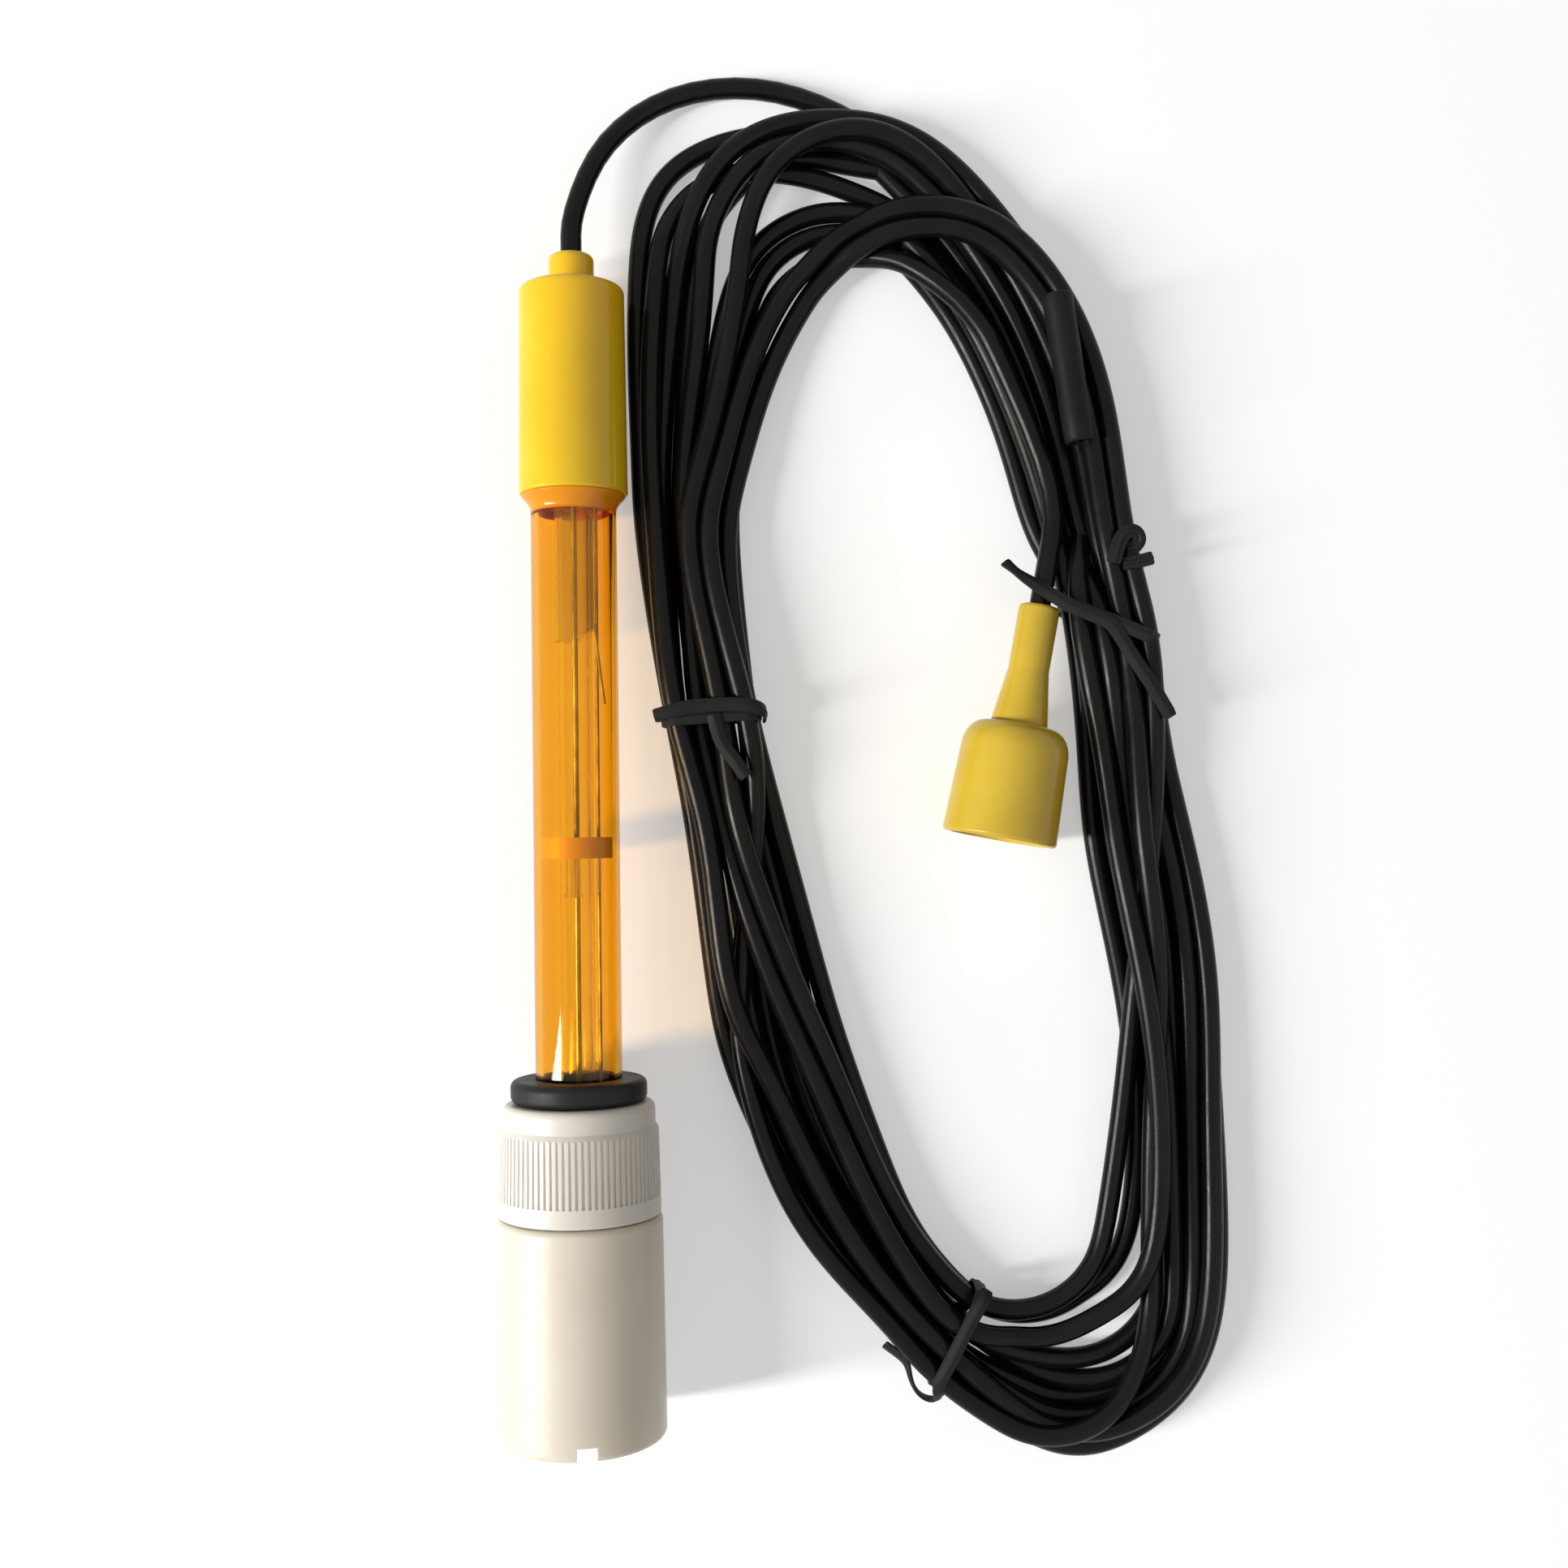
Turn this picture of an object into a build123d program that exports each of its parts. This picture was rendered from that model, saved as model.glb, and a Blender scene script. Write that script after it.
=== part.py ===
from build123d import *
from math import atan, cos, degrees, radians, sin, sqrt, tan
import os

# A combination pH electrode that lies with its wetting bottle on, and its lead in a tied coil beside it.
# Millimetres. The floor is Z = 0. The electrode lies along Y with its cable end towards +Y, and leans a
# little, because the bottle is thicker than the yellow cap.

os.makedirs("parts", exist_ok=True)

# Fits between pieces
running_gap = 0.05
glue_gap = 0.04
seat_gap = 0.05
loose_gap = 0.3

# How far a cut runs past the surface that it starts or ends at
overrun = 1.0

# Amber tube, with the slotted guard round the glass bulb
tube_d = 12.0
tube_wall = 1.0
tube_below_cap = 120.0
tube_in_cap = 20.0
guard_slot_depth = 7.5
guard_slot_width = 3.2
guard_slot_count = 4
guard_edge = 0.3

# Yellow cap with the nub that the cable leaves by
cap_length = 29.4
cap_rim_d = 15.3
cap_top_d = 14.75
cap_edge_r = 0.9
rim_edge_r = 0.35
nub_d = 6.4
nub_length = 4.7
nub_edge_r = 0.9
nub_root_r = 0.4
cap_bore_cone = 2.0
cable_d = 3.0

# Pieces inside the tube
potting_depth = 1.6
potting_length = 17.0
stem_d = 4.7
stem_wall = 0.6
stem_in_potting = 10.0
bulb_d = 7.6
bulb_recess = 0.9
inner_wire_d = 0.8
inner_wire_above_tip = 4.0
stopper_length = 6.0
sleeve_wall = 0.35
sleeve_length = 19.0
sleeve_bevel = 2.4
separator_below_rim = 48.0
separator_thickness = 2.9
reference_wire_d = 0.5
reference_wire_offset = 3.05
small_sleeve_d = 2.0
small_sleeve_wall = 0.45
small_sleeve_length = 4.9
small_sleeve_flange_d = 2.5
small_sleeve_flange = 0.5
small_sleeve_offset = 3.6
junction_rod_d = 0.8
junction_rod_length = 4.6
junction_rod_angle = 32.0
pigtail_d = 0.35
pigtail_length = 11.3
pigtail_sleeve_gap = 0.1
pigtail_start_lift = 1.2
pigtail_wall_gap = 0.9
pigtail_end_lift = 1.6
tip_plug_length = 5.0
tip_plug_above_tip = 10.0
frit_d = 1.2
frit_offset = 3.7
frit_proud = 0.4

# Rubber collar that slides on the tube
visible_tube = 81.4
collar_d = 18.9
collar_thickness = 3.2
collar_edge_r = 1.0

# Ribbed lid of the wetting bottle
lid_height = 15.4
lid_band_inset = 0.45
lid_band_height = 3.1
lid_band_edge_r = 1.0
lid_step_height = 0.7
skirt_top_d = 22.0
skirt_flare = 0.25
skirt_edge_r = 0.3
skirt_plain_height = 2.6
lid_top_wall = 1.6
lid_wall_least = 0.45
lid_wall_share = 0.2121
rib_count = 80
rib_width = 0.42
rib_height = 0.22
thread_gap = 0.6

# Rubber seal inside the lid
seal_gap_share = 0.2319
seal_flange_thickness = 2.2
seal_lip_wall = 0.65
seal_lip_gap = 0.2
seal_lip_height = 1.1
seal_skirt_share = 0.3333
seal_skirt_taper = 0.7
seal_skirt_length = 2.4

# Wetting bottle
bottle_body_length = 30.4
bottle_shoulder_proud = 0.2
bottle_base_d = 23.5
bottle_wall = 1.3
bottle_shoulder_r = 0.8
bottle_base_r = 0.9
bottle_inside_r = 1.0
neck_wall_share = 0.5263
base_recess_depth = 2.2
base_floor = 1.3
base_rim_wall = 1.9
notch_width = 2.7
notch_depth = 2.0
notch_angle = 10.0
lid_play = 0.25

# Connector: the bell sleeve turns with the coupling nut, and the strain relief holds the cable
bell_mouth_d = 16.2
bell_shoulder_d = 15.2
bell_length = 12.4
bell_dome_length = 3.9
bell_mouth_edge_r = 0.5
bell_lip = 0.4
bell_hole_depth = 1.6
nut_d = 13.6
nut_length = 10.8
nut_inset = 0.6
nut_bore_d = 9.96
nut_back_wall = 1.8
nut_back_bore_d = 7.5
stud_groove_width = 2.3
stud_groove_d = 11.4
stud_groove_length = 6.2
stud_groove_turn = 75.0
washer_thickness = 0.5
washer_d = 9.4
washer_bore_gap = 0.15
nut_travel = 0.8
nut_play = 0.1
finger_d = 8.1
finger_wall = 0.6
finger_inset = 1.8
finger_slot_width = 0.5
finger_slot_length = 3.6
finger_slot_count = 4
body_flange_d = 9.8
body_flange_thickness = 1.2
body_back_d = 7.2
insulator_d = 4.8
insulator_nose_d = 3.8
insulator_nose_length = 2.4
pin_d = 1.36
pin_inset = 2.4
pin_tip_flat = 0.1
gasket_thickness = 1.1
gasket_d = 9.5
snap_ring_d = 8.6
snap_ring_thickness = 0.6
snap_ring_groove = 0.35
snap_ring_opening = 1.4
ferrule_d = 5.3
ferrule_length = 8.4
relief_d = 8.0
relief_neck_d = 5.8
relief_straight = 4.6
relief_cone = 7.4
relief_end_r = 0.7
relief_shoulder_r = 2.0
relief_hollow_r = 3.0
relief_gap = 0.1
relief_bore_cone = 1.0
connector_length = 33.5
mouth_x = 59.2
mouth_y = -0.9
connector_heading = 11.0

# Free cable: how far it goes into the cap and the strain relief, and comes straight out of them
cable_in_cap = 6.2
cable_out_of_cap = 6.0
cable_in_relief = 9.5
cable_out_of_relief = 3.5
bend_share = 0.45

# Coil, sleeve and ties
coil_height = 9.0
coil_edge = 1.6
shrink_d = 4.4
shrink_start = (68.2, 75.4)
shrink_end = (71.2, 54.6)
tie_width = 2.0
tie_thickness = 0.6
tie_clearance = 0.25
tie_corner_r = 1.0
tie_groove_depth = 0.8
tie_groove_side = 0.2
tie_groove_reach = 6.0

# Stations along the electrode, counted from its middle, with + towards the cable
overall = (
    nub_length + cap_length + visible_tube + collar_thickness + seat_gap + lid_height + bottle_body_length
)
nub_a = overall / 2
shoulder_a = nub_a - nub_length
rim_a = shoulder_a - cap_length
collar_top_a = rim_a - visible_tube
collar_foot_a = collar_top_a - collar_thickness
lid_face_a = collar_foot_a - seat_gap
step_a = lid_face_a - lid_band_height
skirt_a = step_a - lid_step_height
skirt_foot_a = lid_face_a - lid_height
base_a = skirt_foot_a - bottle_body_length
tip_a = rim_a - tube_below_cap
tube_top_a = rim_a + tube_in_cap

# The electrode rests on the top edge of the lid's skirt and on the shoulder of the yellow cap
rest_a = shoulder_a - cap_edge_r
lean = degrees(atan((skirt_top_d - cap_top_d) / 2 / (rest_a - skirt_a)))
lean_sin = sin(radians(lean))
lean_cos = cos(radians(lean))
axis_height = rest_a * lean_sin + cap_top_d / 2 * lean_cos

electrode_plane = Plane(origin=(0, 0, axis_height), x_dir=(1, 0, 0), z_dir=(0, lean_sin, lean_cos))
electrode_axis = Axis((0, 0, axis_height), (0, lean_cos, -lean_sin))


def on_electrode(a, side=0.0, lift=0.0):
    """The point at station a of the electrode, moved sideways and up from its axis."""
    y = a * lean_cos + lift * lean_sin
    z = axis_height - a * lean_sin + lift * lean_cos
    return (side, y, z)


def electrode_section(a):
    """A plane across the electrode at station a, which faces the tip, with its Y pointing up."""
    return Plane(origin=on_electrode(a), x_dir=(1, 0, 0), z_dir=(0, -lean_cos, lean_sin))


def ring_of(outer_r, inner_r, low, high):
    """The half section of a plain ring: a rectangle beside the axis, from one station to another."""
    return Polygon((inner_r, low), (outer_r, low), (outer_r, high), (inner_r, high), align=None)


def corner(sketch, x, y):
    """The corner of a sketch that lies nearest a point in its own plane."""
    return sketch.vertices().sort_by_distance((x, y))[0]


# Amber tube
tube_r = tube_d / 2
tube_bore_r = tube_r - tube_wall
with BuildPart() as body_tube:
    with BuildSketch(electrode_plane) as tube_section:
        ring_of(tube_r, tube_bore_r, tip_a, tube_top_a)
        chamfer(corner(tube_section, tube_r, tip_a), guard_edge)
    revolve(axis=electrode_axis)
    with BuildSketch(electrode_section(tip_a + guard_slot_depth)):
        with PolarLocations(0, guard_slot_count // 2, angular_range=180):
            SlotOverall(tube_d + 2 * guard_slot_width, guard_slot_width)
    extrude(amount=guard_slot_depth + overrun, mode=Mode.SUBTRACT)
body_tube.part.label = "body_tube"
export_step(body_tube.part, "parts/body_tube.step")

# Yellow cap
cap_bore_r = tube_r + glue_gap
cable_bore_r = cable_d / 2 + running_gap
with BuildPart() as tube_cap:
    with BuildSketch(electrode_plane) as cap_section:
        Polygon(
            (cap_bore_r, rim_a),
            (cap_rim_d / 2, rim_a),
            (cap_top_d / 2, shoulder_a),
            (nub_d / 2, shoulder_a),
            (nub_d / 2, nub_a),
            (cable_bore_r, nub_a),
            (cable_bore_r, tube_top_a + cap_bore_cone),
            (cap_bore_r, tube_top_a + seat_gap),
            align=None,
        )
        fillet(corner(cap_section, cap_rim_d / 2, rim_a), rim_edge_r)
        fillet(corner(cap_section, cap_top_d / 2, shoulder_a), cap_edge_r)
        fillet(corner(cap_section, nub_d / 2, shoulder_a), nub_root_r)
        fillet(corner(cap_section, nub_d / 2, nub_a), nub_edge_r)
    revolve(axis=electrode_axis)
tube_cap.part.label = "tube_cap"
export_step(tube_cap.part, "parts/tube_cap.step")

# Potting plug in the tube's top
stem_r = stem_d / 2
potting_low_a = rim_a - potting_depth
potting_high_a = potting_low_a + potting_length
stem_bore_in_plugs = stem_r + glue_gap
with BuildPart() as potting_plug:
    with BuildSketch(electrode_plane):
        ring_of(tube_bore_r - glue_gap, stem_bore_in_plugs, potting_low_a, potting_high_a)
    revolve(axis=electrode_axis)
potting_plug.part.label = "potting_plug"
export_step(potting_plug.part, "parts/potting_plug.step")

# Glass stem, which swells into the bulb inside the guard
bulb_r = bulb_d / 2
bulb_a = tip_a + bulb_recess + bulb_r
stem_top_a = potting_low_a + stem_in_potting
stem_bore_r = stem_r - stem_wall
bulb_bore_r = bulb_r - stem_wall
outer_meet_a = bulb_a + sqrt(bulb_r**2 - stem_r**2)
inner_meet_a = bulb_a + sqrt(bulb_bore_r**2 - stem_bore_r**2)
with BuildPart() as glass_stem:
    with BuildSketch(electrode_plane):
        with BuildLine():
            Line((stem_bore_r, stem_top_a), (stem_r, stem_top_a))
            Line((stem_r, stem_top_a), (stem_r, outer_meet_a))
            ThreePointArc((stem_r, outer_meet_a), (bulb_r, bulb_a), (0, bulb_a - bulb_r))
            Line((0, bulb_a - bulb_r), (0, bulb_a - bulb_bore_r))
            ThreePointArc(
                (0, bulb_a - bulb_bore_r), (bulb_bore_r, bulb_a), (stem_bore_r, inner_meet_a)
            )
            Line((stem_bore_r, inner_meet_a), (stem_bore_r, stem_top_a))
        make_face()
    revolve(axis=electrode_axis)
glass_stem.part.label = "glass_stem"
export_step(glass_stem.part, "parts/glass_stem.step")

# Silver wire inside the stem
with BuildPart() as inner_wire:
    with BuildSketch(electrode_section(stem_top_a)):
        Circle(inner_wire_d / 2)
    extrude(amount=stem_top_a - tip_a - inner_wire_above_tip)
inner_wire.part.label = "inner_wire"
export_step(inner_wire.part, "parts/inner_wire.step")

# Resin stopper that holds the wire in the stem's top
with BuildPart() as stem_stopper:
    with BuildSketch(electrode_section(stem_top_a)):
        Circle(stem_bore_r - glue_gap)
        Circle(inner_wire_d / 2 + glue_gap, mode=Mode.SUBTRACT)
    extrude(amount=stopper_length)
stem_stopper.part.label = "stem_stopper"
export_step(stem_stopper.part, "parts/stem_stopper.step")

# Clear sleeve on the stem's top, cut off at a slant
sleeve_foot_a = potting_low_a - sleeve_length
sleeve_r = stem_r + glue_gap + sleeve_wall
with BuildPart() as stem_sleeve:
    with BuildSketch(electrode_section(potting_low_a - seat_gap)):
        Circle(sleeve_r)
        Circle(stem_r + glue_gap, mode=Mode.SUBTRACT)
    extrude(amount=sleeve_length)
    with BuildSketch(electrode_plane):
        Polygon(
            (-sleeve_r - overrun, sleeve_foot_a - overrun),
            (sleeve_r + overrun, sleeve_foot_a - overrun),
            (sleeve_r + overrun, sleeve_foot_a + sleeve_bevel),
            (0, sleeve_foot_a),
            (-sleeve_r - overrun, sleeve_foot_a),
            align=None,
        )
    extrude(amount=sleeve_r + overrun, both=True, mode=Mode.SUBTRACT)
stem_sleeve.part.label = "stem_sleeve"
export_step(stem_sleeve.part, "parts/stem_sleeve.step")

# Separator disc that parts the two gel chambers, bored for the stem and the reference wire
separator_high_a = rim_a - separator_below_rim
separator_low_a = separator_high_a - separator_thickness
with BuildPart() as separator:
    with BuildSketch(electrode_section(separator_high_a)):
        Circle(tube_bore_r - glue_gap)
        Circle(stem_bore_in_plugs, mode=Mode.SUBTRACT)
        with Locations((reference_wire_offset, 0)):
            Circle(reference_wire_d / 2 + glue_gap, mode=Mode.SUBTRACT)
    extrude(amount=separator_thickness)
separator.part.label = "separator"
export_step(separator.part, "parts/separator.step")

# Tip plug, bored for the stem, the reference wire and the ceramic junction
plug_high_a = tip_a + tip_plug_above_tip + tip_plug_length
with BuildPart() as tip_plug:
    with BuildSketch(electrode_section(plug_high_a)):
        Circle(tube_bore_r - glue_gap)
        Circle(stem_bore_in_plugs, mode=Mode.SUBTRACT)
        with Locations((-frit_offset, 0)):
            Circle(frit_d / 2 + glue_gap, mode=Mode.SUBTRACT)
    extrude(amount=tip_plug_length)
tip_plug.part.label = "tip_plug"
export_step(tip_plug.part, "parts/tip_plug.step")

with BuildPart() as ceramic_junction:
    with BuildSketch(electrode_section(plug_high_a)):
        with Locations((-frit_offset, 0)):
            Circle(frit_d / 2)
    extrude(amount=tip_plug_length + frit_proud)
ceramic_junction.part.label = "ceramic_junction"
export_step(ceramic_junction.part, "parts/ceramic_junction.step")

# Reference wire, from the potting through the separator to the tip plug
with BuildPart() as reference_wire:
    with BuildSketch(electrode_section(potting_low_a)):
        with Locations((reference_wire_offset, 0)):
            Circle(reference_wire_d / 2)
    extrude(amount=potting_low_a - plug_high_a)
reference_wire.part.label = "reference_wire"
export_step(reference_wire.part, "parts/reference_wire.step")

# Small sleeve and rod that hang below the separator
with BuildPart() as reference_sleeve:
    with BuildSketch(electrode_section(separator_low_a)):
        with Locations((0, small_sleeve_offset)):
            Circle(small_sleeve_d / 2)
            Circle(small_sleeve_d / 2 - small_sleeve_wall, mode=Mode.SUBTRACT)
    extrude(amount=small_sleeve_length)
    with BuildSketch(electrode_section(separator_low_a - small_sleeve_length)):
        with Locations((0, small_sleeve_offset)):
            Circle(small_sleeve_flange_d / 2)
            Circle(small_sleeve_d / 2 - small_sleeve_wall, mode=Mode.SUBTRACT)
    extrude(amount=small_sleeve_flange)
reference_sleeve.part.label = "reference_sleeve"
export_step(reference_sleeve.part, "parts/reference_sleeve.step")

rod_side = small_sleeve_offset * cos(radians(junction_rod_angle))
rod_lift = small_sleeve_offset * sin(radians(junction_rod_angle))
with BuildPart() as junction_rod:
    with BuildSketch(electrode_section(separator_low_a)):
        with Locations((rod_side, rod_lift)):
            Circle(junction_rod_d / 2)
    extrude(amount=junction_rod_length)
junction_rod.part.label = "junction_rod"
export_step(junction_rod.part, "parts/junction_rod.step")

# Pigtail wire that leaves the sleeve's slanted foot and leans towards the tube's wall
pigtail_r = pigtail_d / 2
pigtail_side = stem_r + sleeve_wall + pigtail_sleeve_gap
pigtail_top_a = sleeve_foot_a + sleeve_bevel
pigtail_foot_a = pigtail_top_a - pigtail_length
pigtail_start = Vector(*on_electrode(pigtail_top_a, pigtail_side, pigtail_start_lift))
pigtail_stop = Vector(*on_electrode(pigtail_foot_a, tube_bore_r - pigtail_wall_gap, pigtail_end_lift))
pigtail_way = pigtail_stop - pigtail_start
with BuildPart() as pigtail:
    with BuildSketch(Plane(origin=pigtail_start, z_dir=pigtail_way)):
        Circle(pigtail_r)
    extrude(amount=pigtail_way.length)
pigtail.part.label = "pigtail"
export_step(pigtail.part, "parts/pigtail.step")

# Rubber collar on the tube
slide_bore_r = tube_r + running_gap
with BuildPart() as collar:
    with BuildSketch(electrode_plane) as collar_section:
        ring_of(collar_d / 2, slide_bore_r, collar_foot_a, collar_top_a)
        fillet(corner(collar_section, collar_d / 2, collar_foot_a), collar_edge_r)
        fillet(corner(collar_section, collar_d / 2, collar_top_a), collar_edge_r)
    revolve(axis=electrode_axis)
collar.part.label = "collar"
export_step(collar.part, "parts/collar.step")

# Radii of the lid, the seal and the bottle's neck, which share the room between the tube and the skirt
skirt_room = skirt_top_d / 2 - slide_bore_r
lid_wall = lid_wall_least + skirt_room * lid_wall_share
lid_bore_r = skirt_top_d / 2 - lid_wall
lid_hole_r = slide_bore_r + seal_lip_wall + seal_lip_gap
skirt_foot_r = skirt_top_d / 2 + skirt_flare
lid_band_r = skirt_top_d / 2 - lid_band_inset
neck_r = lid_bore_r - thread_gap
neck_room = neck_r - slide_bore_r
neck_bore_r = neck_r - neck_room * neck_wall_share
seal_skirt_r = slide_bore_r + neck_room * seal_skirt_share
seal_foot_r = seal_skirt_r - (seal_skirt_r - slide_bore_r) * seal_skirt_taper
seal_flange_r = lid_bore_r - (lid_bore_r - slide_bore_r) * seal_gap_share
seal_lip_r = slide_bore_r + seal_lip_wall

# Bottle seal: a flange clamped by the lid, a lip in the lid's hole and a skirt in the bottle's mouth
lid_under_a = lid_face_a - lid_top_wall
flange_high_a = lid_under_a - seat_gap
flange_low_a = flange_high_a - seal_flange_thickness
mouth_a = flange_low_a - seat_gap
with BuildPart() as bottle_seal:
    with BuildSketch(electrode_plane):
        Polygon(
            (slide_bore_r, flange_low_a - seal_skirt_length),
            (seal_foot_r, flange_low_a - seal_skirt_length),
            (seal_skirt_r, flange_low_a),
            (seal_flange_r, flange_low_a),
            (seal_flange_r, flange_high_a),
            (seal_lip_r, flange_high_a),
            (seal_lip_r, flange_high_a + seal_lip_height),
            (slide_bore_r, flange_high_a + seal_lip_height),
            align=None,
        )
    revolve(axis=electrode_axis)
bottle_seal.part.label = "bottle_seal"
export_step(bottle_seal.part, "parts/bottle_seal.step")

# Ribbed lid
rib_foot_a = skirt_foot_a + skirt_plain_height
rib_r = skirt_top_d / 2
with BuildPart() as bottle_lid:
    with BuildSketch(electrode_plane) as lid_section:
        Polygon(
            (lid_hole_r, lid_face_a),
            (lid_band_r, lid_face_a),
            (lid_band_r, step_a),
            (rib_r, skirt_a),
            (skirt_foot_r, skirt_foot_a),
            (lid_bore_r, skirt_foot_a),
            (lid_bore_r, lid_under_a),
            (lid_hole_r, lid_under_a),
            align=None,
        )
        fillet(corner(lid_section, lid_band_r, lid_face_a), lid_band_edge_r)
        fillet(corner(lid_section, skirt_foot_r, skirt_foot_a), skirt_edge_r)
    revolve(axis=electrode_axis)
    with BuildSketch(electrode_section(skirt_a)):
        with PolarLocations(rib_r, rib_count):
            Rectangle(2 * rib_height, rib_width)
    extrude(amount=skirt_a - rib_foot_a, mode=Mode.SUBTRACT)
bottle_lid.part.label = "bottle_lid"
export_step(bottle_lid.part, "parts/bottle_lid.step")

# Wetting bottle with its neck, its recessed base and the two notches in the base rim
shoulder_top_a = skirt_foot_a - lid_play
inside_shoulder_a = shoulder_top_a - bottle_wall
base_inner_a = base_a + base_recess_depth + base_floor
base_r = bottle_base_d / 2
bottle_shoulder_d = 2 * (skirt_foot_r + bottle_shoulder_proud)
with BuildPart() as bottle:
    with BuildSketch(electrode_plane) as bottle_section:
        Polygon(
            (neck_bore_r, mouth_a),
            (neck_r, mouth_a),
            (neck_r, shoulder_top_a),
            (bottle_shoulder_d / 2, shoulder_top_a),
            (base_r, base_a),
            (base_r - base_rim_wall, base_a),
            (base_r - base_rim_wall, base_a + base_recess_depth),
            (0, base_a + base_recess_depth),
            (0, base_inner_a),
            (base_r - bottle_wall, base_inner_a),
            (bottle_shoulder_d / 2 - bottle_wall, inside_shoulder_a),
            (neck_bore_r, inside_shoulder_a),
            align=None,
        )
        fillet(corner(bottle_section, bottle_shoulder_d / 2, shoulder_top_a), bottle_shoulder_r)
        fillet(corner(bottle_section, base_r, base_a), bottle_base_r)
        fillet(corner(bottle_section, base_r - bottle_wall, base_inner_a), bottle_inside_r)
    revolve(axis=electrode_axis)
    with BuildSketch(electrode_section(base_a + notch_depth)):
        Rectangle(notch_width, bottle_base_d + 2 * overrun, rotation=-notch_angle)
    extrude(amount=notch_depth + overrun, mode=Mode.SUBTRACT)
bottle.part.label = "bottle"
export_step(bottle.part, "parts/bottle.step")

# Frame of the connector: it lies on the side of its bell, and points its neck at the coil
connector_pitch = degrees(atan((bell_mouth_d - bell_shoulder_d) / 2 / bell_length))
pitch_sin = sin(radians(connector_pitch))
pitch_cos = cos(radians(connector_pitch))
heading_sin = sin(radians(connector_heading))
heading_cos = cos(radians(connector_heading))
mouth_z = bell_mouth_d / 2 * pitch_cos
connector_way = Vector(heading_sin * pitch_cos, heading_cos * pitch_cos, -pitch_sin)
connector_up = Vector(heading_sin * pitch_sin, heading_cos * pitch_sin, pitch_cos)
connector_across = Vector(heading_cos, -heading_sin, 0)
mouth_point = Vector(mouth_x, mouth_y, mouth_z)
connector_plane = Plane(origin=mouth_point, x_dir=connector_across, z_dir=connector_up)
connector_axis = Axis(mouth_point, connector_way)


def on_connector(q):
    """The point on the connector's axis at a distance q behind the bell's mouth."""
    return mouth_point + connector_way * q


def connector_section(q):
    """A plane across the connector at a distance q behind the mouth, which faces back."""
    return Plane(origin=on_connector(q), x_dir=connector_across, z_dir=connector_way)


# Yellow bell sleeve, pressed on the coupling nut
nut_r = nut_d / 2
nut_back_q = nut_inset + nut_length
bell_bore_r = nut_r + glue_gap
relief_r = relief_d / 2
bell_hole_r = relief_r + loose_gap
dome_q = bell_length + bell_dome_length
with BuildPart() as bell_sleeve:
    with BuildSketch(connector_plane) as bell_section:
        with BuildLine():
            Line((bell_bore_r, 0), (bell_mouth_d / 2, 0))
            Line((bell_mouth_d / 2, 0), (bell_shoulder_d / 2, bell_length))
            EllipticalCenterArc(
                (bell_hole_r + bell_lip, bell_length),
                bell_shoulder_d / 2 - bell_hole_r - bell_lip,
                bell_dome_length,
                arc_size=90,
            )
            Line((bell_hole_r + bell_lip, dome_q), (bell_hole_r, dome_q))
            Line((bell_hole_r, dome_q), (bell_hole_r, dome_q - bell_hole_depth))
            Line((bell_hole_r, dome_q - bell_hole_depth), (bell_bore_r, nut_back_q + seat_gap))
            Line((bell_bore_r, nut_back_q + seat_gap), (bell_bore_r, 0))
        make_face()
        fillet(corner(bell_section, bell_mouth_d / 2, 0), bell_mouth_edge_r)
    revolve(axis=connector_axis)
bell_sleeve.part.label = "bell_sleeve"
export_step(bell_sleeve.part, "parts/bell_sleeve.step")

# Coupling nut, with the two grooves that take a socket's studs
nut_bore_r = nut_bore_d / 2
nut_floor_q = nut_back_q - nut_back_wall
with BuildPart() as coupling_nut:
    with BuildSketch(connector_plane):
        Polygon(
            (nut_bore_r, nut_inset),
            (nut_r, nut_inset),
            (nut_r, nut_back_q),
            (nut_back_bore_d / 2, nut_back_q),
            (nut_back_bore_d / 2, nut_floor_q),
            (nut_bore_r, nut_floor_q),
            align=None,
        )
    revolve(axis=connector_axis)
    with BuildSketch(connector_section(nut_inset - running_gap)):
        Rectangle(stud_groove_d, stud_groove_width)
    extrude(amount=stud_groove_length, mode=Mode.SUBTRACT)
    with BuildSketch(connector_section(nut_inset + stud_groove_length - stud_groove_width)):
        for slot_start in (0, 180):
            with BuildLine():
                PolarLine((0, 0), stud_groove_d / 2, slot_start)
                CenterArc((0, 0), stud_groove_d / 2, slot_start, stud_groove_turn)
                PolarLine((0, 0), stud_groove_d / 2, slot_start + stud_groove_turn)
            make_face()
    extrude(amount=stud_groove_width, mode=Mode.SUBTRACT)
coupling_nut.part.label = "coupling_nut"
export_step(coupling_nut.part, "parts/coupling_nut.step")

# Spring washer that rides against the nut's back wall
body_back_r = body_back_d / 2
washer_q = nut_floor_q - seat_gap - washer_thickness
with BuildPart() as spring_washer:
    with BuildSketch(connector_plane):
        ring_of(washer_d / 2, body_back_r + washer_bore_gap, washer_q, washer_q + washer_thickness)
    revolve(axis=connector_axis)
spring_washer.part.label = "spring_washer"
export_step(spring_washer.part, "parts/spring_washer.step")

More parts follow.
